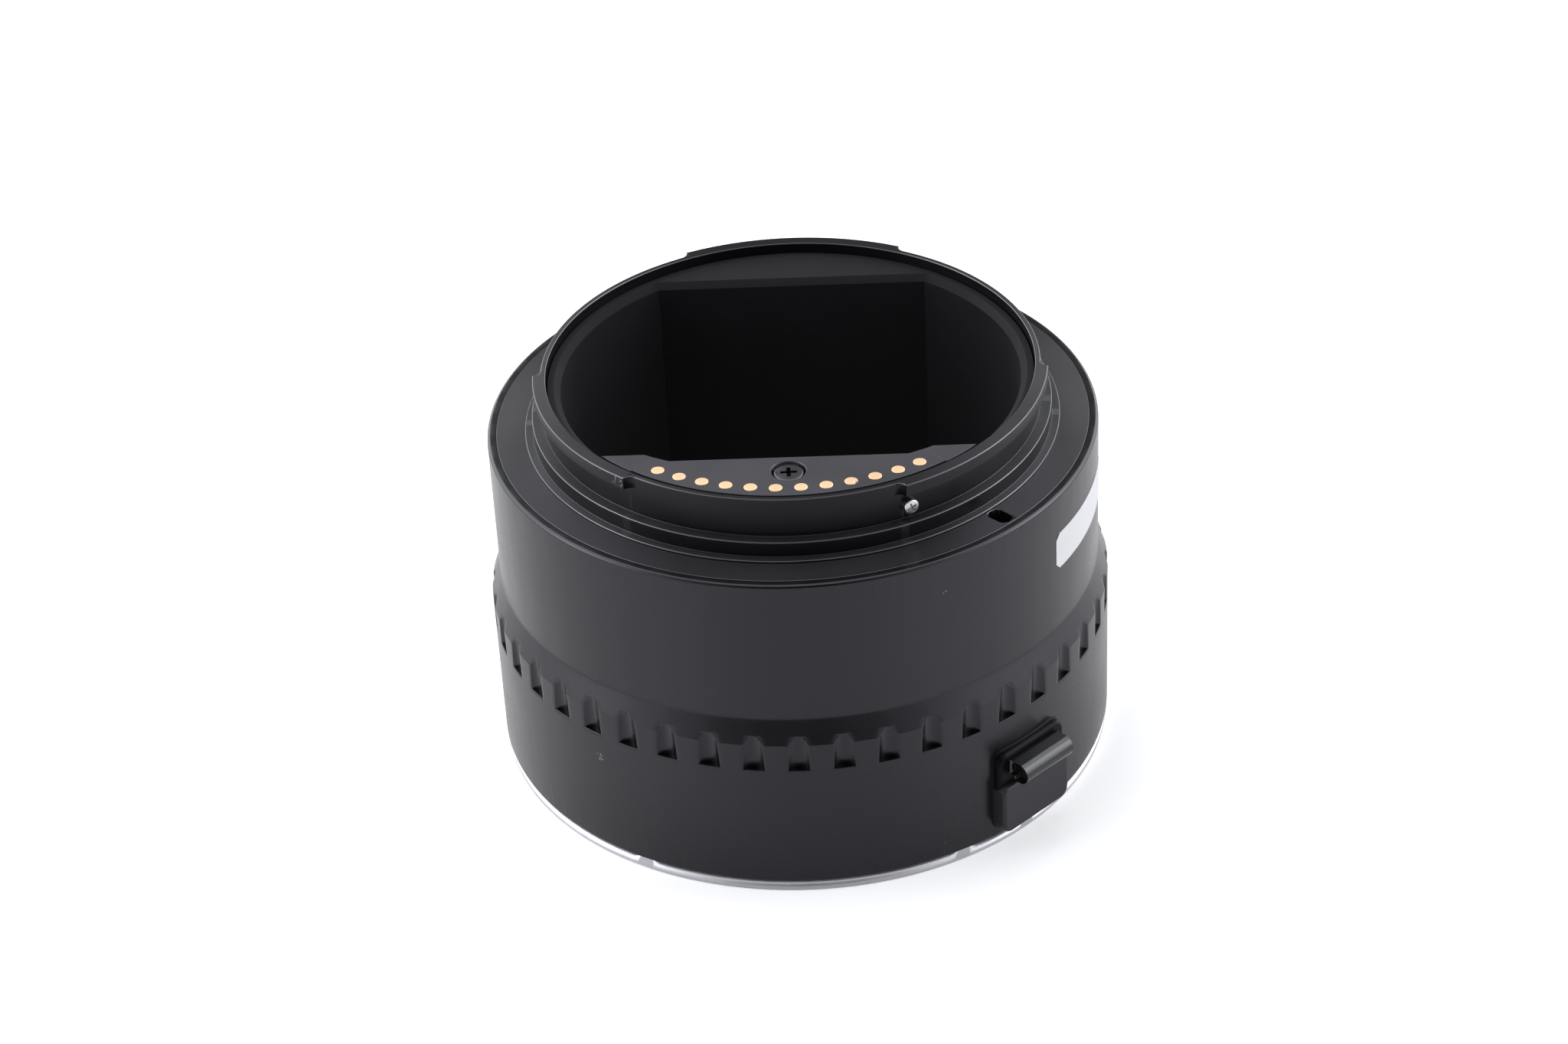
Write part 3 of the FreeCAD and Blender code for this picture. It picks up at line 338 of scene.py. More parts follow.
def spun(profile: Sequence[Pair], segments: int = 48, axis: Pair = (0.0, 0.0)) -> Form:
    """An open profile that starts and ends near the axis, turned and closed with two caps."""
    form = Form()
    return form.close(form.skin(lathed(profile, segments, axis)))


def slab(outline: Sequence[Pair], low: float, high: float, edge: float, steps: int = 3) -> Form:
    """A plate of a plan outline with rounded top and bottom edges.

    Args:
        outline: the plan outline, counter-clockwise.
        low: the height of its bottom.
        high: the height of its top.
        edge: the radius of its edges.
        steps: how many facets each edge gets.

    Returns:
        The form.
    """
    profile = [(-edge * (1 - math.sin(a)), low + edge * (1 - math.cos(a))) for a in quarter(steps)]
    profile += round_over(0.0, high, edge, steps)
    form = Form()
    return form.close(form.skin(rows_of_outline(outline, profile)))


def rectangle(half: float, low: float, high: float) -> list[Pair]:
    """A rectangle that stands across the middle, counter-clockwise."""
    return [(-half, low), (half, low), (half, high), (-half, high)]


def arc(radius: float, start: float, end: float, steps: int) -> list[Pair]:
    """Points along an arc about the optical axis, from one azimuth to another."""
    return [polar(radius, start + (end - start) * k / steps)[:2] for k in range(steps + 1)]


def ring_sector(inner: float, outer: float, start: float, end: float, steps: int = 24) -> list[Pair]:
    """The plan outline of an arc-shaped plate, counter-clockwise."""
    return arc(outer, start, end, steps) + arc(inner, end, start, steps)


def cross_tool(x: float, y: float, top: float, depth: float, span: float, width: float, turn: float) -> Form:
    """The tapered cross of a driver, standing with its point down.

    Args:
        x: where its axis stands.
        y: where its axis stands.
        top: the height of the face that it is driven into.
        depth: how deep it goes.
        span: the length of its bars at the face.
        width: the width of its bars at the face.
        turn: how far it is turned, in degrees.

    Returns:
        The tool as one closed form.
    """
    taper, above = 0.6, 0.3
    a, b = span / 2, width / 2
    plan = [(a, -b), (a, b), (b, b), (b, a), (-b, a), (-b, b), (-a, b), (-a, -b), (-b, -b), (-b, -a), (b, -a),
            (b, -b)]
    c, s = math.cos(math.radians(turn)), math.sin(math.radians(turn))
    rows = []
    for share, z in ((taper, top - depth), (1.0, top), (1.0, top + above)):
        rows.append([(x + c * u * share - s * v * share, y + s * u * share + c * v * share, z)
                     for u, v in plan])
    form = Form()
    return form.close(form.skin(rows))


# Finishes


class Graph:
    """A short way to write shader nodes."""

    # A Mix node's sockets share their names between its kinds, so those for colours go by number.
    COLOUR_A = 6
    COLOUR_B = 7
    COLOUR_RESULT = 2

    def __init__(self, tree: bpy.types.NodeTree) -> None:
        """Work on one node tree."""
        self.tree = tree

    def node(self, kind: str, _set: dict | None = None, **inputs: object) -> bpy.types.Node:
        """Add a node.

        Args:
            kind: the node's type without its ShaderNode prefix.
            _set: properties of the node itself.
            inputs: values or sockets for its inputs, with _ for a space in the name.

        Returns:
            The node.
        """
        made = self.tree.nodes.new("ShaderNode" + kind if not kind.startswith("Node") else kind)
        for key, value in (_set or {}).items():
            setattr(made, key, value)
        for key, value in inputs.items():
            number = int(key[1:]) if key[0] == "i" and key[1:].isdigit() else key.replace("_", " ")
            self.put(made.inputs[number], value)
        return made

    def put(self, socket: bpy.types.NodeSocket, value: object) -> None:
        """Give an input a value, or link an output to it.

        Args:
            socket: the input.
            value: a value, or the output that feeds it.
        """
        if isinstance(value, bpy.types.NodeSocket):
            self.tree.links.new(value, socket)
        else:
            socket.default_value = value

    def maths(self, operation: str, *values: object) -> bpy.types.NodeSocket:
        """The result of a Math node.

        Args:
            operation: what it works out.
            values: numbers or sockets.

        Returns:
            Its output.
        """
        made = self.tree.nodes.new("ShaderNodeMath")
        made.operation = operation
        for i, value in enumerate(values):
            self.put(made.inputs[i], value)
        return made.outputs[0]

    def length(self, x: bpy.types.NodeSocket, y: bpy.types.NodeSocket) -> bpy.types.NodeSocket:
        """How long a vector with two parts is."""
        squares = [self.maths("MULTIPLY", part, part) for part in (x, y)]
        return self.maths("SQRT", self.maths("ADD", *squares))

    def ramp(self, value: bpy.types.NodeSocket, low: float, high: float, to_low: float = 0.0,
             to_high: float = 1.0) -> bpy.types.NodeSocket:
        """A value carried from one range to another, held at the ends.

        Args:
            value: the value.
            low: where the first range starts.
            high: where the first range ends.
            to_low: what the start becomes.
            to_high: what the end becomes.

        Returns:
            The new value.
        """
        made = self.node("MapRange", {"clamp": True}, Value=value)
        for name, number in {"From Min": low, "From Max": high, "To Min": to_low, "To Max": to_high}.items():
            made.inputs[name].default_value = number
        return made.outputs[0]

    def mix(self, share: object, first: object, second: object) -> bpy.types.NodeSocket:
        """Two colours mixed.

        Args:
            share: the share of the second colour.
            first: a colour.
            second: another colour.

        Returns:
            The mixed colour.
        """
        made = self.node("Mix", {"data_type": "RGBA"})
        self.put(made.inputs["Factor"], share)
        self.put(made.inputs[self.COLOUR_A], first)
        self.put(made.inputs[self.COLOUR_B], second)
        return made.outputs[self.COLOUR_RESULT]


class Effect(Enum):
    """The shader node groups that finishes share."""

    GRAIN = "fine_grain"
    TURNING = "turning_marks"
    SCUFF = "small_scuff"


def group(effect: Effect, inputs: dict[str, float], outputs: Sequence[str],
          fill: Callable[[Graph, bpy.types.Node, bpy.types.Node], None]) -> bpy.types.NodeTree:
    """Get a shared node group, and build it the first time.

    Args:
        effect: which group.
        inputs: the names and usual values of its inputs.
        outputs: the names of its outputs.
        fill: builds the nodes between the group's input and output nodes.

    Returns:
        The group's tree.
    """
    tree = bpy.data.node_groups.get(effect.value)
    if tree:
        return tree
    tree = bpy.data.node_groups.new(effect.value, "ShaderNodeTree")
    for name, value in inputs.items():
        tree.interface.new_socket(name, in_out="INPUT", socket_type="NodeSocketFloat").default_value = value
    for name in outputs:
        tree.interface.new_socket(name, in_out="OUTPUT", socket_type="NodeSocketFloat")
    graph = Graph(tree)
    fill(graph, graph.node("NodeGroupInput"), graph.node("NodeGroupOutput"))
    return tree


def fill_grain(graph: Graph, given: bpy.types.Node, result: bpy.types.Node) -> None:
    """Fine blasted grain with a slow variation over it.

    Args:
        graph: the group's tree.
        given: its input node, with Scale.
        result: its output node, with Height and Cloud.
    """
    place = graph.node("TexCoord").outputs["Object"]
    fine = graph.node("TexNoise", Vector=place, Scale=given.outputs["Scale"], Detail=3.0, Roughness=0.6)
    broad = graph.node("TexNoise", Vector=place, Scale=90.0, Detail=4.0, Roughness=0.55)
    graph.put(result.inputs["Height"], fine.outputs[0])
    graph.put(result.inputs["Cloud"], broad.outputs[0])


def fill_turning(graph: Graph, given: bpy.types.Node, result: bpy.types.Node) -> None:
    """Fine rings that a lathe leaves, round the optical axis on faces and along it on walls.

    Args:
        graph: the group's tree.
        given: its input node, with Lines.
        result: its output node, with Height.
    """
    place = graph.node("TexCoord").outputs["Object"]
    x, y, z = graph.node("SeparateXYZ", Vector=place).outputs
    run = graph.maths("ADD", graph.length(x, y), z)
    line = graph.node("CombineXYZ", X=graph.maths("MULTIPLY", run, given.outputs["Lines"]))
    rough = graph.node("TexNoise", {"noise_dimensions": "3D"}, Vector=line.outputs[0], Scale=1.0, Detail=2.0)
    graph.put(result.inputs["Height"], rough.outputs[0])


def fill_scuff(graph: Graph, given: bpy.types.Node, result: bpy.types.Node) -> None:
    """A small scratched patch round a point.

    Args:
        graph: the group's tree.
        given: its input node, with X, Y, Z and Size.
        result: its output node, with Mask.
    """
    place = graph.node("TexCoord").outputs["Object"]
    centre = graph.node("CombineXYZ", X=given.outputs["X"], Y=given.outputs["Y"], Z=given.outputs["Z"])
    away = graph.node("VectorMath", {"operation": "DISTANCE"}, i0=place, i1=centre.outputs[0])
    near = graph.maths("LESS_THAN", away.outputs["Value"], given.outputs["Size"])
    streaks = graph.node("TexNoise", {"noise_dimensions": "3D"}, Vector=place, Scale=2600.0, Detail=3.0,
                         Distortion=1.5)
    scratched = graph.ramp(streaks.outputs[0], low=0.56, high=0.66)
    graph.put(result.inputs["Mask"], graph.maths("MULTIPLY", near, scratched))


def effect(graph: Graph, which: Effect, **values: object) -> bpy.types.Node:
    """Place one of the shared groups in a material, with its own values.

    Args:
        graph: the material's tree.
        which: the group.
        values: values for its inputs.

    Returns:
        The group's node.
    """
    recipes = {
        Effect.GRAIN: ({"Scale": 9000.0}, ("Height", "Cloud"), fill_grain),
        Effect.TURNING: ({"Lines": 9000.0}, ("Height",), fill_turning),
        Effect.SCUFF: ({"X": 0.0, "Y": 0.0, "Z": 0.0, "Size": 0.001}, ("Mask",), fill_scuff),
    }
    tree = group(which, *recipes[which])
    placed = graph.tree.nodes.new("ShaderNodeGroup")
    placed.node_tree = tree
    for key, value in values.items():
        graph.put(placed.inputs[key], value)
    return placed


def colour4(colour: Colour) -> tuple[float, float, float, float]:
    """A colour with full alpha."""
    return (*colour, 1.0)


CLOUD_RANGE = (0.3, 0.7)
CLOUD_ROUGHNESS = (0.92, 1.08)
BUMP_HEIGHT = 0.02 * MM


@dataclass(frozen=True)
class Surface:
    """A finish: its colour and gloss, its grain and its slow variation, its turning marks and its scuffs."""

    name: str
    colour: Colour
    roughness: float
    metallic: float = 0.0
    specular: float = 0.5
    coat: float = 0.0
    coat_roughness: float = 0.12
    grain: float = 0.0
    grain_scale: float = 9000.0
    cloud: float = 0.12
    turning: float = 0.0
    lines: float = 9000.0
    anisotropy: float = 0.0
    turn: float = 0.0
    tint: Colour = (1.0, 1.0, 1.0)
    scuffs: tuple[tuple[float, float, float, float], ...] = ()
    scuff_colour: Colour = (0.3, 0.3, 0.32)

    def material(self) -> bpy.types.Material:
        """Get this finish's material, and build it the first time."""
        made = bpy.data.materials.get(self.name)
        return made or self._build()

    def _build(self) -> bpy.types.Material:
        """Build the material's nodes.

        Returns:
            The new material.
        """
        made = bpy.data.materials.new(self.name)
        made.use_nodes = True
        made.diffuse_color = colour4(self.colour)
        graph = Graph(made.node_tree)
        shader = next(n for n in made.node_tree.nodes if n.type == "BSDF_PRINCIPLED")
        shader.inputs["Metallic"].default_value = self.metallic
        shader.inputs["Specular IOR Level"].default_value = self.specular
        shader.inputs["Specular Tint"].default_value = colour4(self.tint)
        shader.inputs["Coat Weight"].default_value = self.coat
        shader.inputs["Coat Roughness"].default_value = self.coat_roughness
        if self.anisotropy:
            shader.inputs["Anisotropic"].default_value = self.anisotropy
            shader.inputs["Anisotropic Rotation"].default_value = self.turn
            tangent = graph.node("Tangent", {"direction_type": "RADIAL", "axis": "Z"})
            graph.put(shader.inputs["Tangent"], tangent.outputs[0])
        grain = effect(graph, Effect.GRAIN, Scale=self.grain_scale)
        cloud = grain.outputs["Cloud"]
        dark = tuple(c * (1 - self.cloud) for c in self.colour)
        light = tuple(min(1.0, c * (1 + self.cloud)) for c in self.colour)
        colour = graph.mix(graph.ramp(cloud, *CLOUD_RANGE), colour4(dark), colour4(light))
        rough = graph.ramp(cloud, *CLOUD_RANGE, *(self.roughness * share for share in CLOUD_ROUGHNESS))
        for x, y, z, size in self.scuffs:
            mark = effect(graph, Effect.SCUFF, X=x * MM, Y=y * MM, Z=z * MM, Size=size * MM)
            colour = graph.mix(mark.outputs["Mask"], colour, colour4(self.scuff_colour))
        graph.put(shader.inputs["Base Color"], colour)
        graph.put(shader.inputs["Roughness"], rough)
        normal = None
        if self.grain:
            height = grain.outputs["Height"]
            normal = graph.node("Bump", Strength=self.grain, Distance=BUMP_HEIGHT, Height=height).outputs[0]
        if self.turning:
            height = effect(graph, Effect.TURNING, Lines=self.lines).outputs["Height"]
            bump = graph.node("Bump", Strength=self.turning, Distance=BUMP_HEIGHT, Height=height)
            if normal:
                graph.put(bump.inputs["Normal"], normal)
            normal = bump.outputs[0]
        if normal:
            graph.put(shader.inputs["Normal"], normal)
        return made


LAVENDER = (0.9, 0.9, 1.0)
LUG_SCUFF = (-20.6, -24.9, 51.6, 0.8)
RIM_SCUFF = (-19.6, -25.7, 52.5, 0.5)
BARREL = Surface("barrel_black_anodised", (0.0036, 0.0036, 0.0042), 0.28, specular=0.46, grain=0.06,
                 grain_scale=14000, cloud=0.08, turning=0.03, lines=7000, tint=LAVENDER,
                 scuffs=((-25.0, -31.0, 15.2, 0.6), (18.2, -34.0, 40.3, 0.3), (17.4, -35.8, 3.9, 0.3)))
MOUNT = Surface("mount_black_anodised", (0.005, 0.005, 0.0058), 0.36, specular=0.5, grain=0.04,
                grain_scale=16000, cloud=0.06, turning=0.05, lines=11000, anisotropy=0.88, turn=0.25,
                tint=LAVENDER, scuffs=(LUG_SCUFF, RIM_SCUFF))
# Painted shade and painted highlight: darker and lighter copies of the mount's black finish for its upright
# walls and its tilted edges.
MOUNT_WALL_PAINTED_SHADE = Surface("mount_black_walls", (0.004, 0.004, 0.0046), 0.3, specular=0.3, grain=0.04,
                     grain_scale=16000, cloud=0.06, turning=0.05, lines=11000, anisotropy=0.5, turn=0.25,
                     tint=LAVENDER, scuffs=(LUG_SCUFF,))
MOUNT_EDGE_PAINTED_HIGHLIGHT = Surface("mount_black_edges", (0.03, 0.03, 0.034), 0.3, specular=1.0, cloud=0.15)
# Painted shade: a near-black, dull finish for the inside of the screw's cross recess.
RECESS_PAINTED_SHADE = Surface("driver_recess", (0.002, 0.002, 0.002), 0.6, specular=0.1)
TUNNEL = Surface("tunnel_matt_black", (0.0105, 0.0105, 0.0115), 0.7, specular=0.12, grain=0.25,
                 grain_scale=9000, tint=LAVENDER)
BLOCK = Surface("contact_block_moulding", (0.026, 0.026, 0.03), 0.45, specular=0.55, grain=0.2,
                grain_scale=11000, cloud=0.12, tint=LAVENDER)
GOLD = Surface("gold_plating", (0.8, 0.53, 0.33), 0.58, metallic=0.75, grain=0.12, grain_scale=12000,
               cloud=0.04)
BLACK_SCREW = Surface("blackened_screw", (0.09, 0.09, 0.1), 0.34, metallic=0.8, specular=0.6, grain=0.1)
SILVER = Surface("turned_silver_ring", (0.6, 0.595, 0.625), 0.45, metallic=1.0, grain=0.03, turning=0.04,
                 lines=9000, cloud=0.03)
STEEL = Surface("bright_steel", (0.66, 0.65, 0.64), 0.26, metallic=1.0, grain=0.08, cloud=0.06)
SPRING = Surface("spring_steel_strip", (0.52, 0.51, 0.5), 0.3, metallic=1.0, grain=0.05, cloud=0.06)
RIDGE = Surface("slider_gloss_black", (0.004, 0.004, 0.0045), 0.16, specular=0.55, grain=0.02, cloud=0.06)
HOUSING = Surface("housing_black", (0.0032, 0.0032, 0.0038), 0.42, specular=0.09, grain=0.06,
                  grain_scale=15000, cloud=0.06, tint=LAVENDER)
PLATE = Surface("housing_plate_matt", (0.011, 0.011, 0.0125), 0.5, specular=0.5, grain=0.15,
                grain_scale=15000, cloud=0.06, tint=LAVENDER)
FLEX = Surface("amber_film", (0.42, 0.16, 0.03), 0.35, coat=0.3, cloud=0.1)
LABEL = Surface("blank_paper_label", (0.78, 0.78, 0.8), 0.55, specular=0.3, grain=0.05, cloud=0.02)


# Sub-assemblies


def settle(piece: bpy.types.Object, finish: Surface, slot: Slot, body: str | None,
           *nodes: str) -> bpy.types.Object:
    """Dress a piece, let it ride on a body and stand for CAD nodes.

    Args:
        piece: the piece.
        finish: its finish.
        slot: not used.
        body: the body that it rides on, or None for a piece that rides on none.
        nodes: the CAD nodes that it replaces.

    Returns:
        The piece.
    """
    piece.data.materials.clear()
    piece.data.materials.append(finish.material())
    if body:
        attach(piece, body)
    if nodes:
        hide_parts(*nodes)
    LOG.info("%s: %d faces on %s", piece.name, len(piece.data.polygons), body)
    return piece


def recoat(piece: bpy.types.Object, finish: Surface, test: Callable[[Vector, Vector], bool]) -> None:
    """Give some faces of a piece another finish.

    Args:
        piece: the piece.
        finish: the finish of those faces.
        test: tells from a face's middle, in millimetres, and its normal whether it is one of them.
    """
    piece.data.materials.append(finish.material())
    number = len(piece.data.materials) - 1
    for face in piece.data.polygons:
        if test(face.center / MM, face.normal):
            face.material_index = number


@dataclass
class Barrel:
    """The outer tube with its cone, its ring of grip notches and its release housing."""

    lower: float = 39.83
    upper: float = 38.57
    foot: float = 1.6
    cone_low: float = 22.4
    cone_high: float = 25.7
    top: float = 45.0
    lip: float = 0.45
    notches: int = 45
    notch_floor: float = 18.75
    notch_depth: float = 0.8
    notch_radius: float = 1.6
    notch_tilt: float = 4.0
    notch_columns: tuple[float, ...] = (-1.0, -0.95, -0.8, -0.55, -0.28, 0.0, 0.28, 0.55, 0.8, 0.95, 1.0)
    land_columns: tuple[float, ...] = (0.035, 0.2, 0.5, 0.8, 0.965)
    shave: float = 0.03
    shaved_share: float = 0.99
    narrow: float = 0.12
    steps: int = 26
    bend: float = 0.25
    foot_inner: float = 38.0
    foot_edge: Pair = (0.2, 0.06)
    inside: tuple[Pair, ...] = ((37.45, 45.0), (37.45, 42.5), (31.7, 42.5), (31.7, 39.9), (36.9, 39.9),
                                (36.9, 21.5), (37.9, 19.5), (37.9, 9.7), (33.6, 9.7), (33.6, 8.7),
                                (34.25, 8.7), (34.25, 1.6))

    def radius(self, z: float) -> float:
        """The plain outer radius at a height."""
        share = min(1.0, max(0.0, (z - self.cone_low) / (self.cone_high - self.cone_low)))
        return self.lower + (self.upper - self.lower) * share

    def notch_axis(self, z: float) -> float:
        """How far from the optical axis the notch cutter's axis is at a height."""
        return (self.lower - self.notch_depth + self.notch_radius
                + (z - self.notch_floor) * math.tan(math.radians(self.notch_tilt)))

    def half_width(self, z: float) -> float:
        """Half the width of a notch at a height, or zero above its end.

        Args:
            z: the height.

        Returns:
            Half the width.
        """
        axis, radius = self.notch_axis(z), self.radius(z)
        near = (axis * axis + radius * radius - self.notch_radius ** 2) / (2 * axis)
        return math.sqrt(max(0.0, radius * radius - near * near))

    def notch_end(self) -> float:
        """The height at which the notches run out on the cone.

        Returns:
            The height.
        """
        low, high = self.notch_floor, self.cone_high
        for _ in range(40):
            middle = (low + high) / 2
            low, high = (middle, high) if self.half_width(middle) > 0 else (low, middle)
        return low

    def row(self, z: float, radius: float, half: float,
            inner: Callable[[float], Pair] | None = None) -> list[Triple]:
        """One row of points round the barrel.

        Args:
            z: its height.
            radius: the plain radius there.
            half: half the width that the notch columns share.
            inner: gives (radius, height) in a notch from the distance off its middle, or None.

        Returns:
            The points.
        """
        pitch = 360.0 / self.notches
        reach = math.degrees(math.asin(half / radius))
        points = []
        for k in range(self.notches):
            middle = -90.0 + pitch * k
            for share in self.notch_columns:
                across = half * share
                near, height = inner(across) if inner else (math.sqrt(radius ** 2 - across ** 2), z)
                azimuth = middle + math.degrees(math.atan2(across, near))
                points.append(polar(math.hypot(near, across), azimuth, height))
            for share in self.land_columns:
                points.append(polar(radius, middle + reach + (pitch - 2 * reach) * share, z))
        return points

    def wall(self, z: float, half: float) -> list[Triple]:
        """A row across the notches, whose columns follow the notch's own edge.

        Args:
            z: the row's height.
            half: half the notch's width there.

        Returns:
            The points.
        """
        radius, axis = self.radius(z), self.notch_axis(z)
        least = 0.2

        def inner(across: float) -> Pair:
            """The innermost point at a distance across the notch: the notch's floor or the plain wall."""
            plain = math.sqrt(radius ** 2 - across ** 2)
            cut = axis - math.sqrt(max(0.0, self.notch_radius ** 2 - across ** 2))
            shave = self.shave if abs(across) > self.shaved_share * half else 0.0
            return min(plain - shave, cut) if half > least else plain, z

        return self.row(z, radius, half, inner)

    def build(self) -> bpy.types.Object:
        """Build the barrel's shell.

        Returns:
            The shell.
        """
        floor, end = self.notch_floor, self.notch_end()
        usual, lower = self.half_width(floor), self.lower
        edge, near = self.foot_edge
        foot = [(self.foot_inner, self.foot), (lower - edge, self.foot), (lower - near, self.foot + near),
                (lower, self.foot + edge), (lower, 6.0), (lower, 12.0), (lower, floor - 0.5),
                (lower, floor - near)]
        rows = [self.row(z, r, usual) for r, z in foot]
        axis = self.notch_axis(floor)
        rows.append(self.row(floor - 0.01, lower, usual,
                             lambda s: (math.sqrt(lower ** 2 - s ** 2) - 0.04, floor)))
        rows.append(self.row(floor + 0.02, lower, usual,
                             lambda s: (axis - math.sqrt(self.notch_radius ** 2 - s ** 2), floor + 0.001)))
        eased = {round(end - (end - floor) * (1 - k / self.steps) ** 2, 4) for k in range(1, self.steps)}
        edges = {self.cone_low - near, self.cone_low, self.cone_low + near, floor + 0.1, end - 0.02}
        heights = [z for z in sorted(eased | edges) if floor < z < end]
        rows += [self.wall(z, max(self.narrow, self.half_width(z))) for z in heights]
        rows += [self.wall(end, 0.1), self.wall(end + 0.3, self.narrow)]
        bend = self.bend
        above = [(self.radius(self.cone_high - 0.9), self.cone_high - 0.9),
                 (self.radius(self.cone_high - bend), self.cone_high - bend),
                 (self.upper + 0.012, self.cone_high), (self.upper, self.cone_high + bend),
                 (self.upper, 32.0), (self.upper, 40.0), (self.upper, self.top - self.lip)]
        lip = round_over(self.upper, self.top, self.lip, 6, first=1)
        for k, (r, z) in enumerate(above + lip + list(self.inside)):
            widening = 0.18 * min(k, 5)
            rows.append(self.row(z, r, self.narrow + widening))
        form = Form()
        form.skin(rows, back=True)
        return settle(form.build("barrel_shell"), BARREL, Slot.BARREL, Body.TUBE.value, "barrel")


@dataclass
class ReleaseHousing:
    """The raised housing on the barrel: the shelf that the slider runs on and the matt plate below it."""

    azimuth: float = 314.8
    half_width: float = 5.9
    low: float = 2.75
    high: float = 14.3
    face: float = 41.5
    shelf: float = 40.7
    step: float = 9.9
    corner: float = 1.5
    plate_corner: float = 0.9
    plate_edge: float = 0.5
    shelf_edge: float = 0.55
    plate_rise: float = 0.03
    plate_root: float = 0.8
    fillet: float = 0.25
    sunk: float = 0.05
    barrel: float = 39.83
    corner_steps: int = 12
    side_steps: int = 14

    def frame(self, point: Triple) -> Triple:
        """Carry (out, across, up) at the release's azimuth into the object's frame.

        Args:
            point: how far it is out, across and up.

        Returns:
            The point in the object's frame.
        """
        angle = math.radians(self.azimuth)
        c, s = math.cos(angle), math.sin(angle)
        return point[0] * c - point[1] * s, point[0] * s + point[1] * c, point[2]

    def outline(self, offset: float) -> list[Pair]:
        """The housing's outline moved outwards, as (across, up), with the same count for any offset.

        Args:
            offset: how far the outline is moved.

        Returns:
            The points.
        """
        half, corner = self.half_width + offset, self.corner + offset
        low, high = self.low - offset, self.high + offset
        centres = ((half - corner, high - corner, 0), (-half + corner, high - corner, 90),
                   (-half + corner, low + corner, 180), (half - corner, low + corner, 270))
        points: list[Pair] = []
        turns, sides = self.corner_steps, self.side_steps
        for i, (x, z, start) in enumerate(centres):
            points += [(x + corner * math.cos(a), z + corner * math.sin(a))
                       for a in (math.radians(start + 90 * k / turns) for k in range(turns + 1))]
            last, after = points[-1], centres[(i + 1) % 4]
            a = math.radians(start + 90)
            goal = (after[0] + corner * math.cos(a), after[1] + corner * math.sin(a))
            points += [(last[0] + (goal[0] - last[0]) * k / sides, last[1] + (goal[1] - last[1]) * k / sides)
                       for k in range(1, sides)]
        return points

    def body(self) -> Form:
        """The housing up to its shelf: a fillet off the barrel, the wall and the rounded edge.

        Returns:
            The form, in the object's frame.
        """
        form = Form()
        rows: Rows = []
        for a in quarter(10):
            lift = self.fillet * (1 - math.cos(a)) - (0.0 if a else self.sunk)
            rows.append([(math.sqrt(self.barrel ** 2 - t * t) + lift, t, z)
                         for t, z in self.outline(self.fillet * (1 - math.sin(a)))])
        for a in quarter(6):
            rows.append([(self.shelf - self.shelf_edge * (1 - math.sin(a)), t, z)
                         for t, z in self.outline(-self.shelf_edge * (1 - math.cos(a)))])
        numbers = form.skin(rows)
        form.cap(numbers[-1][::-1])
        return form.place(self.frame)

    def plate(self) -> Form:
        """The matt plate, standing a little proud of the housing's walls.

        Returns:
            The form, in the object's frame.
        """
        half, low = self.half_width + self.plate_rise, self.low - self.plate_rise
        radii = (self.corner, self.corner, self.plate_corner, self.plate_corner)
        corners = [(x, z, radius) for (x, z), radius in zip(rectangle(half, low, self.step), radii)]
        outline = soften(corners, 0.0, 10)
        profile = [(0.0, self.barrel - self.plate_root)] + round_over(0.0, self.face, self.plate_edge, 6)
        form = Form()
        form.close(form.skin(rows_of_outline(outline, profile)))
        return form.place(upright).place(self.frame)

    def build(self) -> list[bpy.types.Object]:
        """Build the housing and its plate.

        Returns:
            Both pieces.
        """
        housing = settle(self.body().build("release_housing", 60), HOUSING, Slot.BARREL, Body.TUBE.value)
        front = settle(self.plate().build("release_housing_plate", 60), PLATE, Slot.BARREL, Body.TUBE.value)
        return [housing, front]


def upright(point: Triple) -> Triple:
    """Stand a plan outline up: (across, up, out) becomes (out, across, up)."""
    return point[2], point[0], point[1]


def shifted(outline: Sequence[Pair], offset: float) -> list[Pair]:
    """A closed counter-clockwise outline moved outwards."""
    return [(x, y) for x, y, _ in rows_of_outline(outline, [(offset, 0.0)])[0]]


@dataclass
class Label:
    """A blank paper label on the upper barrel, where the photographed one carries a code."""

    start: float = -33.6
    end: float = -4.0
    low: float = 34.3
    high: float = 39.4
    radius: float = 38.57
    thick: float = 0.06
    corner: float = 0.8
    column: float = 0.8

    def build(self) -> bpy.types.Object:
        """Build the label as a thin sheet bent round the barrel.

        Returns:
            The label.
        """
        width = math.radians(self.end - self.start) * self.radius
        columns = int(width / self.column)
        form = Form()
        rows: Rows = []
        for k in range(columns + 1):
            u = width * k / columns
            inset = max(0.0, self.corner - min(u, width - u))
            rise = self.corner - math.sqrt(max(0.0, self.corner ** 2 - inset ** 2))
            azimuth = self.start + math.degrees(u / self.radius)
            rows.append([polar(self.radius + out, azimuth, z) for out, z in (
                (0.0, self.low + rise), (self.thick, self.low + rise), (self.thick, self.high - rise),
                (0.0, self.high - rise))])
        form.close(form.skin(rows))
        return settle(form.build("blank_label", 30), LABEL, Slot.BARREL, Body.TUBE.value)


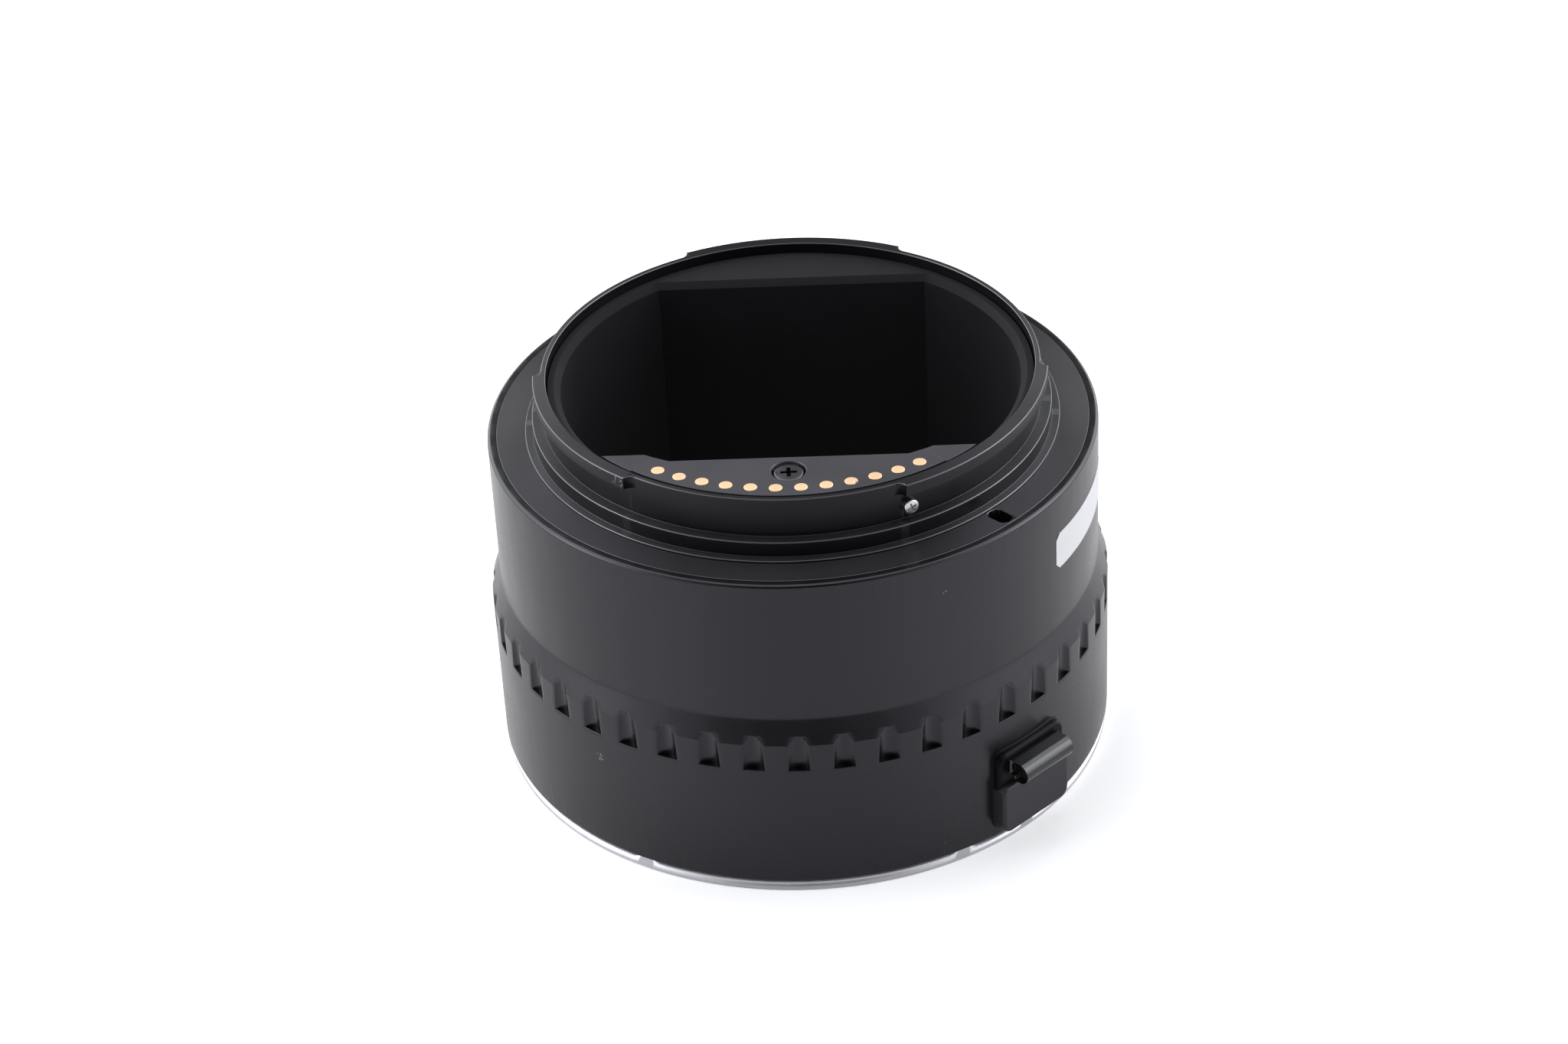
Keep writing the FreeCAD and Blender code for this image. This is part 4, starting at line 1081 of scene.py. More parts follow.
@dataclass
class ReleaseSlider:
    """The slider: a slab in the housing, with a glossy half-round ridge for the finger."""

    housing: ReleaseHousing = field(default_factory=ReleaseHousing)
    slab_half: float = 4.0
    slab_low: float = 11.28
    slab_high: float = 13.25
    slab_back: float = 40.75
    slab_face: float = 41.6
    slab_corner: float = 0.8
    slab_edge: float = 0.15
    tongue_half: float = 2.5
    tongue: Pair = (11.5, 12.4)
    tongue_inner: float = 34.5
    tongue_edge: float = 0.05
    ridge_half: float = 4.2
    ridge_middle: float = 12.05
    ridge_radius: float = 1.4
    ridge_crest: float = 43.8
    ridge_back: float = 40.78
    ridge_end: float = 0.5
    ridge_turn: float = 84.0
    back_gap: float = 0.05
    heel: Pair = (41.58, 11.28)

    def build(self) -> list[bpy.types.Object]:
        """Build the slab with its tongue, and the ridge.

        Returns:
            Both pieces, which ride on the release.
        """
        half, end, edge = self.slab_half, self.tongue_half, self.tongue_edge
        outline = soften(rectangle(half, self.slab_low, self.slab_high), self.slab_corner, 6)
        base = slab(outline, self.slab_back, self.slab_face, self.slab_edge)
        outline = soften(rectangle(end, *self.tongue), edge, 2)
        base.add(slab(outline, self.tongue_inner, self.slab_back + 2 * edge, edge))
        base.place(upright).place(self.housing.frame)
        slider = settle(base.build("release_slab", 40), HOUSING, Slot.SLIDER, Body.RELEASE.value,
                        "release_slider")
        section = self.section()
        rows: Rows = []
        soft = self.ridge_end
        for a in quarter(5):
            rows.append([(p[0], -self.ridge_half + soft * (1 - math.sin(a)), p[1])
                         for p in shifted(section, -soft * (1 - math.cos(math.pi / 2 - a)))])
        mirrored = [[(x, -t, z) for x, t, z in row] for row in rows[::-1]]
        form = Form()
        form.close(form.skin(rows + mirrored)).place(self.housing.frame)
        ridge = settle(form.build("release_ridge", 40), RIDGE, Slot.SLIDER, Body.RELEASE.value)
        return [slider, ridge]

    def section(self) -> list[Pair]:
        """The ridge's section across, as (out, up), counter-clockwise.

        It has a round front, and its heel is cut away so that it slides down over the plate.

        Returns:
            The outline.
        """
        middle, height, radius = self.ridge_crest - self.ridge_radius, self.ridge_middle, self.ridge_radius
        turn, steps, short = self.ridge_turn, 28, radius - self.back_gap
        points = [(middle + radius * math.cos(a), height + radius * math.sin(a))
                  for a in (math.radians(-turn + 2 * turn * k / steps) for k in range(steps + 1))]
        return points + [(self.ridge_back, height + short), (self.ridge_back, self.heel[1]), self.heel,
                         (self.heel[0], height - short)]


@dataclass
class CameraRing:
    """The black bayonet that goes into a camera: plate with lock slot, spigot, neck and lugs."""

    bore: float = 30.66
    plate: float = 37.42
    plate_low: float = 42.5
    soft: float = 0.14
    flange: float = 45.0
    ledge: float = 33.77
    ledge_top: float = 45.3
    spigot: float = 32.75
    spigot_top: float = 47.3
    neck: float = 31.35
    lug: float = 32.3
    lug_low: float = 50.85
    rim: float = 52.5
    mill: float = 1.2
    lugs: tuple[Pair, ...] = ((63.9, 51.4), (181.9, 50.2), (295.7, 59.6))
    slot_azimuth: float = 315.3
    slot: Pair = (33.9, 37.0)
    slot_width: float = 2.05
    slot_corner: float = 0.8
    slot_deep: float = 1.9
    slot_lip: float = 0.08
    root: float = 0.4
    sharp: float = 0.03
    plate_edge: float = 0.06
    lug_steps: int = 8
    wall_tilt: float = 0.25
    edge_tilt: float = 0.96

    def columns(self) -> list[tuple[float, float]]:
        """The azimuths of the ring's columns, each with the lug outline's radius there.

        Returns:
            Pairs of an azimuth and a radius.
        """
        ring = self.neck + self.mill
        side = math.sqrt(self.mill ** 2 - (ring - self.lug) ** 2)
        found = {float(a): None for a in range(0, 360, 2)}
        spans = []
        for start, span in self.lugs:
            for edge, way in ((start, -1), (start + span, 1)):
                for angle in quarter(self.lug_steps):
                    across = side * (1 - math.cos(angle))
                    radius = ring - math.sqrt(max(0.0, self.mill ** 2 - (side - across) ** 2))
                    found[(edge + way * math.degrees(across / self.lug)) % 360] = radius
                spans.append((edge % 360, way))
                found[(edge - way * 0.15) % 360] = self.lug
        reach = math.degrees(side / self.lug)
        result = []
        for azimuth in sorted(found):
            radius = found[azimuth]
            if radius is None:
                near = [abs((azimuth - edge + 180) % 360 - 180) for edge, _ in spans]
                if min(near) < reach + 0.2:
                    continue
                inside = any((azimuth - start) % 360 < span for start, span in self.lugs)
                radius = self.lug if inside else self.neck
            result.append((azimuth, radius))
        return result

    def build(self) -> list[bpy.types.Object]:
        """Build the ring and its plate, with a finish each for flats, walls and edges: the walls get a
        darker, duller copy of the flats' finish as painted shade, the upward-tilted edges a lighter, glossier
        copy as painted highlight.

        Returns:
            Both pieces.
        """
        ring = settle(self.bayonet().build("camera_ring_bayonet", 40), MOUNT, Slot.MOUNT, Body.TUBE.value,
                      "camera_mount_ring")
        outline = soften([(self.bore, self.plate_low), (self.plate, self.plate_low),
                          (self.plate, self.flange), (self.bore, self.flange)], self.plate_edge, 2)
        plate = turned(outline).build("camera_ring_plate", 40)
        carve(plate, self.slot_tool().build("slot_tool"), 40)
        settle(plate, MOUNT, Slot.MOUNT, Body.TUBE.value)
        for piece in (ring, plate):
            # Painted shade on upright walls, painted highlight on upward-tilted edges, chosen by which way
            # each face points.
            recoat(piece, MOUNT_WALL_PAINTED_SHADE, lambda _, normal: abs(normal.z) < self.wall_tilt)
            recoat(piece, MOUNT_EDGE_PAINTED_HIGHLIGHT, lambda _, normal: self.wall_tilt <= normal.z < self.edge_tilt)
        return [ring, plate]

    def bayonet(self) -> Form:
        """The ledge, the spigot, the neck and the lugs.

        Returns:
            The form.
        """
        soft, columns, root = self.soft, self.columns(), self.flange - self.root
        lower = soften([(self.ledge, root, 0), (self.ledge, self.ledge_top),
                        (self.spigot, self.ledge_top, self.sharp), (self.spigot, self.spigot_top, soft),
                        (self.neck, self.spigot_top, self.sharp), (self.neck, self.lug_low, 0),
                        (self.bore, self.lug_low, 0), (self.bore, root, 0)], soft, 3)[:-2]
        rows: Rows = [[polar(r, a, z) for a, _ in columns] for r, z in lower]
        under = soft / 2
        rows.append([polar(max(self.neck, r - under), a, self.lug_low) for a, r in columns])
        rows.append([polar(r, a, self.lug_low + under) for a, r in columns])
        for a in quarter(3):
            rows.append([polar(r - soft * (1 - math.cos(a)), az, self.rim - soft * (1 - math.sin(a)))
                         for az, r in columns])
        for a in quarter(3):
            rows.append([polar(self.bore + soft * (1 - math.sin(a)), az, self.rim - soft * (1 - math.cos(a)))
                         for az, _ in columns])
        rows.append([polar(self.bore, az, root) for az, _ in columns])
        form = Form()
        form.skin(rows, back=True)
        return form

    def slot_tool(self) -> Form:
        """The cutter of the camera's lock slot, which also breaks the slot's edge.

        Returns:
            The cutter.
        """
        (inner, outer), half = self.slot, self.slot_width / 2
        points = soften([(inner, -half), (outer, -half), (outer, half), (inner, half)], self.slot_corner, 8)
        turn = math.radians(self.slot_azimuth)
        c, s = math.cos(turn), math.sin(turn)
        plan = [(x * c - y * s, x * s + y * c) for x, y in points]
        lip, above, flange = self.slot_lip, 0.3, self.flange
        tool = Form()
        return tool.close(tool.skin(rows_of_outline(plan, [(0, flange - self.slot_deep), (0, flange - lip),
                                                           (lip, flange), (lip + above, flange + above)])))


@dataclass
class StopPin:
    """The bright pin in the neck, with a cross recess."""

    azimuth: float = 297.0
    height: float = 49.1
    radius: float = 0.95
    near: float = 30.7
    far: float = 32.2
    edge: float = 0.12
    crown: Pair = (0.3, 0.02)

    def build(self) -> bpy.types.Object:
        """Build the pin along its radius.

        Returns:
            The pin.
        """
        profile = [(self.radius, self.near)] + round_over(self.radius, self.far, self.edge, 4)
        profile.append((self.crown[0], self.far + self.crown[1]))
        pin = spun(profile, 40).build("stop_pin_head", 40)
        cross = cross_tool(0, 0, self.far, depth=0.5, span=1.15, width=0.26, turn=20)
        carve(pin, cross.build("pin_tool"), 30)
        angle = math.radians(self.azimuth)
        out = Vector((math.cos(angle), math.sin(angle), 0))
        side = Vector((-math.sin(angle), math.cos(angle), 0))
        turn = Matrix((side, Vector((0, 0, 1)), out)).transposed().to_4x4()
        pin.data.transform(Matrix.Translation((0, 0, self.height * MM)) @ turn)
        return settle(pin, STEEL, Slot.STEEL, Body.TUBE.value, "stop_pin")


@dataclass
class LightTunnel:
    """The matt black tunnel with the flat near and far sides and the shelf under the rim."""

    radius: float = 28.9
    far: float = 23.1
    near: float = 21.5
    wall: float = 0.8
    low: float = 7.7
    flange: float = 34.15
    flange_top: float = 8.7
    shelf: float = 30.5
    shelf_low: float = 49.65
    top: float = 51.15
    bevel: float = 0.8
    heights: tuple[float, ...] = (15.0, 25.0, 35.0, 45.0)

    def outline(self, grow: float) -> list[Pair]:
        """The opening's outline, grown outwards, with the same count of points for any growth.

        Args:
            grow: how far it is grown.

        Returns:
            The points, counter-clockwise.
        """
        radius, far, near = self.radius + grow, self.far + grow, self.near + grow
        a, b = math.degrees(math.asin(far / radius)), math.degrees(math.asin(near / radius))
        points: list[Pair] = []
        steps = 24
        for start, end, onward in ((-b, a, 180 - a), (180 - a, 180 + b, -b)):
            points += arc(radius, start, end, 2 * steps)
            (x, y), last = points[-1], polar(radius, onward)
            points += [(x + (last[0] - x) * k / steps, y + (last[1] - y) * k / steps)
                       for k in range(1, steps)]
        return points

    def build(self) -> bpy.types.Object:
        """Build the tunnel.

        Returns:
            The tunnel.
        """
        rows: Rows = []

        def ring(grow: float, z: float) -> None:
            """Add a row along the opening, grown outwards."""
            rows.append([(x, y, z) for x, y in self.outline(grow)])

        def disc(radius: float, z: float) -> None:
            """Add a round row."""
            rows.append([(x * radius / math.hypot(x, y), y * radius / math.hypot(x, y), z)
                         for x, y in self.outline(0)])

        ring(0, self.low)
        for z in self.heights:
            ring(0, z)
        ring(0, self.top - self.bevel - 0.05)
        ring(0.02, self.top - self.bevel + 0.02)
        ring(self.bevel - 0.05, self.top - 0.03)
        ring(self.bevel + 0.04, self.top)
        disc(self.shelf, self.top)
        disc(self.shelf, self.shelf_low)
        ring(self.wall, self.shelf_low)
        ring(self.wall, self.flange_top)
        disc(self.flange, self.flange_top)
        disc(self.flange, self.low)
        form = Form()
        form.skin(rows, back=True)
        return settle(form.build("light_tunnel_shell", 30), TUNNEL, Slot.TUNNEL, Body.TUBE.value,
                      "light_tunnel")


@dataclass
class ContactRow:
    """The camera side block with its ears, its screw and its twelve gold pads."""

    count: int = 12
    circle: float = 28.4
    pitch: float = 6.11
    top: float = 52.3
    thick: float = 1.7
    ear_drop: float = 0.15
    radius: float = 30.1
    edge: float = 21.65
    ear_edge: float = 19.8
    ear_start: float = 14.45
    ear_end: float = 17.45
    cover_corner: Pair = (16.2, 20.8)
    cover_span: float = 39.0
    screw_y: float = 24.65
    screw_hole: float = 2.1
    screw_head: float = 1.85
    screw_seat: float = 1.05
    screw_high: float = 0.8
    screw_edge: float = 0.22
    screw_crown: Pair = (0.4, 0.03)
    cross_depth: float = 0.6
    cross_span: float = 2.0
    pad: float = 0.85
    pad_sink: float = 0.6
    pad_root: float = 0.7
    pad_gap: float = 0.04
    pad_proud: float = 0.04
    nicked: int = 8
    nick: Triple = (0.62, 0.42, 0.24)

    def place(self, i: int) -> Pair:
        """Where a contact stands, counted from the left."""
        return polar(self.circle, -90 + (i - (self.count - 1) / 2) * self.pitch)[:2]

    def build(self) -> list[bpy.types.Object]:
        """Build the block, its screw and its pads.

        Returns:
            All of these pieces.
        """
        side = math.degrees(math.asin(self.ear_edge / self.radius))
        shell = [(-self.ear_start, -self.edge), (-self.ear_end, -self.ear_edge)]
        shell += arc(self.radius, 180 + side, 360 - side, 96)
        shell += [(self.ear_end, -self.ear_edge), (self.ear_start, -self.edge)]
        bottom = self.top - self.thick
        block = slab(shell, bottom, self.top - self.ear_drop, 0.12).build("contact_block", 40)
        line, (across, back) = self.cover_span, self.cover_corner
        plate = [(-self.ear_start, -self.edge), (-across, -back)]
        plate += arc(self.radius, 270 - line, 270 + line, 80)
        plate += [(across, -back), (self.ear_start, -self.edge)]
        cover = slab(plate, bottom + 0.2, self.top, 0.1).build("contact_block_cover", 40)
        for target in (block, cover):
            carve(target, self.sinks().build("sink_tool"), 40)
        settle(block, BLOCK, Slot.BLOCK, Body.TUBE.value, "camera_contact_block")
        settle(cover, BLOCK, Slot.BLOCK, Body.TUBE.value)
        return [block, cover, self.screw()] + [self.pad_piece(i) for i in range(self.count)]

    def sinks(self) -> Form:
        """The cutters of the recesses of the pads and of the screw, which also break their edges.

        Returns:
            One form with every cutter.
        """
        top, above = self.top, 0.3
        places = [(self.place(i), self.pad, 0.04, self.pad_sink) for i in range(self.count)]
        places.append(((0.0, -self.screw_y), self.screw_hole, 0.1, self.screw_seat))
        form = Form()
        for place, r, lip, deep in places:
            profile = [(r, top - deep), (r, top - lip), (r + lip, top), (r + lip + above, top + above)]
            form.add(spun(profile, 40, place))
        return form

    def screw(self) -> bpy.types.Object:
        """The blackened cross-head screw.

        Returns:
            The screw.
        """
        seat = self.top - self.screw_seat
        face = seat + self.screw_high
        profile = [(self.screw_head, seat)] + round_over(self.screw_head, face, self.screw_edge, 4)
        profile.append((self.screw_crown[0], face + self.screw_crown[1]))
        screw = spun(profile, 64, (0, -self.screw_y)).build("block_screw", 40)
        cross = cross_tool(0, -self.screw_y, face, self.cross_depth, self.cross_span, width=0.5, turn=3)
        carve(screw, cross.build("screw_tool"), 30)
        settle(screw, BLACK_SCREW, Slot.BLACK_SCREW, Body.TUBE.value, "contact_block_screw")
        reach, below = 0.6 * self.cross_span, face - 0.02
        # Painted shade: the faces of the cross recess take a near-black finish.
        recoat(screw, RECESS_PAINTED_SHADE, lambda middle, _: middle.z < below
               and math.hypot(middle.x, middle.y + self.screw_y) < reach)
        return screw

    def pad_piece(self, i: int) -> bpy.types.Object:
        """One gold pad with its worn rim; one of them has a nick.

        Args:
            i: which pad, counted from the left.

        Returns:
            The pad.
        """
        x, y = self.place(i)
        top, rim = self.top + self.pad_proud, self.pad - self.pad_gap
        profile = [(rim, self.top - self.pad_root), (rim, top - 0.07), (rim - 0.02, top - 0.035),
                   (rim - 0.06, top - 0.01), (rim - 0.14, top), (0.3, top + 0.001)]
        pad = spun(profile, 40, (x, y)).build("gold_pad_%02d" % (i + 1), 50)
        if i == self.nicked:
            right, near, radius = self.nick
            nick = spun([(radius, self.top - 0.3), (radius, top + 0.2)], 16, (x + right, y - near))
            carve(pad, nick.build("nick_tool"), 50)
        return settle(pad, GOLD, Slot.GOLD, Body.TUBE.value, "contact_pad_%02d" % (i + 1))


@dataclass
class LensRing:
    """The silver ring that a lens locks into: face flange, collar, throat and three claws."""

    face: float = 39.7
    face_thick: float = 1.6
    entry: float = 33.87
    entry_deep: float = 0.4
    throat: float = 32.85
    claw_low: float = 2.45
    claw_high: float = 5.45
    claw_bore: float = 31.5
    relief: float = 33.4
    collar: float = 34.2
    collar_top: float = 7.6
    lock: Pair = (35.7, 314.8)
    screw_circle: float = 36.95
    screws: int = 6
    screw_hole: tuple[Pair, ...] = ((2.15, -0.3), (1.88, 0.0), (1.8, 0.06), (0.98, 1.0), (0.98, 2.2))
    screw_head: tuple[Pair, ...] = ((1.68, 0.06), (1.75, 0.12), (0.95, 0.98), (0.95, 1.6))
    lock_hole: tuple[Pair, ...] = ((1.35, -0.3), (1.08, 0.0), (1.0, 0.1), (1.0, 2.2))
    gaps: tuple[Pair, ...] = ((2.4, 56.8), (120.4, 173.6), (234.2, 296.8))
    rim_edge: float = 0.22
    edge: float = 0.12
    claw_edge: float = 0.15
    groove: float = 0.5
    loops: Pair = (2.5, 1.98)

    def build(self) -> list[bpy.types.Object]:
        """Build the ring with its holes, its claws and its screws.

        Returns:
            All of these pieces.
        """
        low = self.claw_low + self.groove
        inner_loop, outer_loop = self.screw_circle - self.loops[0], self.screw_circle + self.loops[1]
        outline = soften([(self.entry, 0.0), (inner_loop, 0.0), (outer_loop, 0.0),
                          (self.face, 0.0, self.rim_edge), (self.face, self.face_thick, 0),
                          (self.collar, self.face_thick, 0), (self.collar, self.collar_top),
                          (self.relief, self.collar_top), (self.relief, low, 0), (self.throat, low, 0),
                          (self.throat, self.entry_deep), (self.entry, self.entry_deep, 0)], self.edge, 3)
        body = turned(outline).build("lens_ring", 40)
        tools = Form()
        for x, y in self.screw_places():
            tools.add(spun(self.screw_hole, 48, (x, y)))
        tools.add(spun(self.lock_hole, 40, polar(*self.lock)[:2]))
        carve(body, tools.build("ring_tool"), 40)
        settle(body, SILVER, Slot.SILVER, Body.TUBE.value, "lens_mount_ring")
        return [body, self.claws(), self.screw_heads()]

    def screw_places(self) -> list[Pair]:
        """Where the screws stand."""
        return [polar(self.screw_circle, 360 / self.screws * i)[:2] for i in range(self.screws)]

    def claws(self) -> bpy.types.Object:
        """The three claws, between the gaps that a lens's lugs pass through.

        Returns:
            One piece with the three claws.
        """
        count = len(self.gaps)
        claws = Form()
        for i in range(count):
            start, end = self.gaps[i][1], self.gaps[(i + 1) % count][0]
            end += 360 if end < start else 0
            outline = ring_sector(self.claw_bore, self.relief + 0.2, start, end, 40)
            claws.add(slab(outline, self.claw_low, self.claw_high, self.claw_edge))
        return settle(claws.build("lens_ring_claws", 40), SILVER, Slot.SILVER, Body.TUBE.value)

    def screw_heads(self) -> bpy.types.Object:
        """The countersunk screws, each turned its own way.

        Returns:
            One piece with the six screws.
        """
        screws, cross = Form(), Form()
        for i, (x, y) in enumerate(self.screw_places()):
            screws.add(spun(self.screw_head, 48, (x, y)))
            driver = cross_tool(x, -y, -self.screw_head[0][1], depth=0.55, span=1.9, width=0.42,
                                turn=35 * (i + 1))
            cross.add(driver.place(lambda p: (p[0], -p[1], -p[2])))
        heads = screws.build("lens_ring_screws", 40)
        carve(heads, cross.build("cross_tools"), 30)
        return settle(heads, STEEL, Slot.STEEL, Body.TUBE.value, "lens_mount_screws")


@dataclass
class LensContacts:
    """The lens side block, its sprung pins and the springs behind them."""

    row: ContactRow = field(default_factory=ContactRow)
    low: float = 7.9
    high: float = 11.5
    radius: float = 30.35
    edge: float = 22.5
    tab_azimuth: float = 38.0
    tab_half: float = 3.6
    tab_radii: Pair = (30.0, 33.4)
    tab_heights: Pair = (8.7, 9.9)
    seat: float = 9.0
    pin_top: float = 9.6
    pin: tuple[Pair, ...] = ((0.12, 6.6), (0.33, 6.66), (0.48, 6.8), (0.55, 7.0), (0.55, 9.0), (0.85, 9.0),
                             (0.85, 9.6), (0.1, 9.6))
    coil_mean: float = 0.63
    coil_wire: float = 0.11
    coil_turns: float = 3.0
    travel: float = 0.8

    def build(self) -> list[bpy.types.Object]:
        """Build the block, the pins and their springs.

        Returns:
            All of these pieces.
        """
        start = math.degrees(math.asin(self.edge / self.radius))
        outline = arc(self.radius, 180 + start, 360 - start, 90)
        block = slab(outline, self.low, self.high, 0.15).build("lens_block", 40)
        tabs = Form()
        for side in (-self.tab_azimuth, self.tab_azimuth):
            sector = ring_sector(*self.tab_radii, -90 + side - self.tab_half, -90 + side + self.tab_half, 8)
            tabs.add(slab(sector, *self.tab_heights, 0.08))
        form = Form()
        guide = [(1.0, self.low - 0.4), (0.7, self.low), (0.6, self.low + 0.08), (0.6, self.seat),
                 (0.9, self.seat + 0.01), (0.9, self.high + 0.3)]
        for i in range(self.row.count):
            form.add(spun(guide, 28, self.row.place(i)))
        carve(block, form.build("guide_tool"), 40)
        settle(block, BLOCK, Slot.BLOCK, Body.TUBE.value, "lens_contact_block")
        pieces = [block, settle(tabs.build("lens_block_tabs", 40), BLOCK, Slot.BLOCK, Body.TUBE.value)]
        for i in range(self.row.count):
            x, y = self.row.place(i)
            number = "%02d" % (i + 1)
            pin = spun(self.pin, 32, (x, y)).build("sprung_pin_" + number, 40)
            pieces.append(settle(pin, GOLD, Slot.GOLD, "sprung_" + number, "contact_pin_" + number))
            wire = coil(self.coil_mean, self.coil_wire, self.pin_top, self.high, self.coil_turns, (x, y))
            spring = wire.build("pin_coil_" + number, 60)
            nodes = ("contact_springs",) if i == 0 else ()
            settle(spring, SPRING, Slot.SPRING, Body.TUBE.value, *nodes)
            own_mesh(spring)
            pieces.append(spring)
        return pieces


def coil(mean: float, wire: float, low: float, high: float, turns: float, axis: Pair) -> Form:
    """A compression spring of round wire with an upright axis.

    Args:
        mean: the coil's radius to the middle of the wire.
        wire: the wire's radius.
        low: the height of its lower end.
        high: the height of its upper end.
        turns: how many turns it has.
        axis: where its axis stands.

    Returns:
        The spring's form.
    """
    rise = (high - low - 2 * wire) / turns
    around, sides = 28, 10
    steps = int(turns * around)
    rows: Rows = []
    for step in range(steps + 1):
        a = 2 * math.pi * turns * step / steps
        out = Vector((math.cos(a), math.sin(a), 0))
        along = Vector((-math.sin(a), math.cos(a), rise / (2 * math.pi * mean))).normalized()
        across = along.cross(out)
        middle = Vector((axis[0], axis[1], low + wire + rise * a / (2 * math.pi))) + out * mean
        ring = [middle + out * (wire * math.cos(b)) + across * (wire * math.sin(b))
                for b in (2 * math.pi * side / sides for side in range(sides))]
        rows.append([tuple(point) for point in ring])
    form = Form()
    return form.close(form.skin(rows))


@dataclass
class LockWorks:
    """The lock pin and its spring inside the barrel."""

    place: Pair = (35.7, 314.8)
    pin: tuple[Pair, ...] = ((0.3, 0.0), (0.65, 0.0), (0.85, 0.08), (0.95, 0.3), (0.95, 11.05), (1.6, 11.05),
                             (1.6, 11.5), (0.7, 11.5), (0.7, 19.1), (0.6, 19.2), (0.1, 19.2))
    spring: Pair = (12.4, 16.6)
    coil_mean: float = 1.15
    coil_wire: float = 0.18
    coil_turns: float = 4.0

    def build(self) -> list[bpy.types.Object]:
        """Build the pin and the spring.

        Returns:
            Both pieces.
        """
        x, y, _ = polar(*self.place)
        pin = spun(self.pin, 40, (x, y)).build("lock_pin_turned", 40)
        settle(pin, STEEL, Slot.STEEL, Body.RELEASE.value, "lock_pin")
        low, high = self.spring
        wire = coil(self.coil_mean, self.coil_wire, low, high, self.coil_turns, (x, y))
        spring = wire.build("lock_coil", 60)
        settle(spring, SPRING, Slot.SPRING, None, "lock_spring")
        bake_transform(spring)
        return [pin, spring]


@dataclass
class CarriedNodes:
    """The CAD nodes whose shape is right as it is; they get a finish."""

    finishes: dict[str, Surface] = field(default_factory=lambda: {
        "camera_mount_screws": STEEL, "contact_flex": FLEX, "lens_block_screws": STEEL,
        "lock_bracket": SPRING, "bracket_screws": STEEL,
        "claw_spring_1": SPRING, "claw_spring_2": SPRING, "claw_spring_3": SPRING})

    def dress(self, nodes: dict[str, bpy.types.Object]) -> None:
        """Give every carried node its finish.

        Args:
            nodes: the frame's nodes by name.
        """
        for name, finish in self.finishes.items():
            materials = nodes[name].data.materials
            materials.clear()
            materials.append(finish.material())
            LOG.info("%s: carried over", name)


# Studio


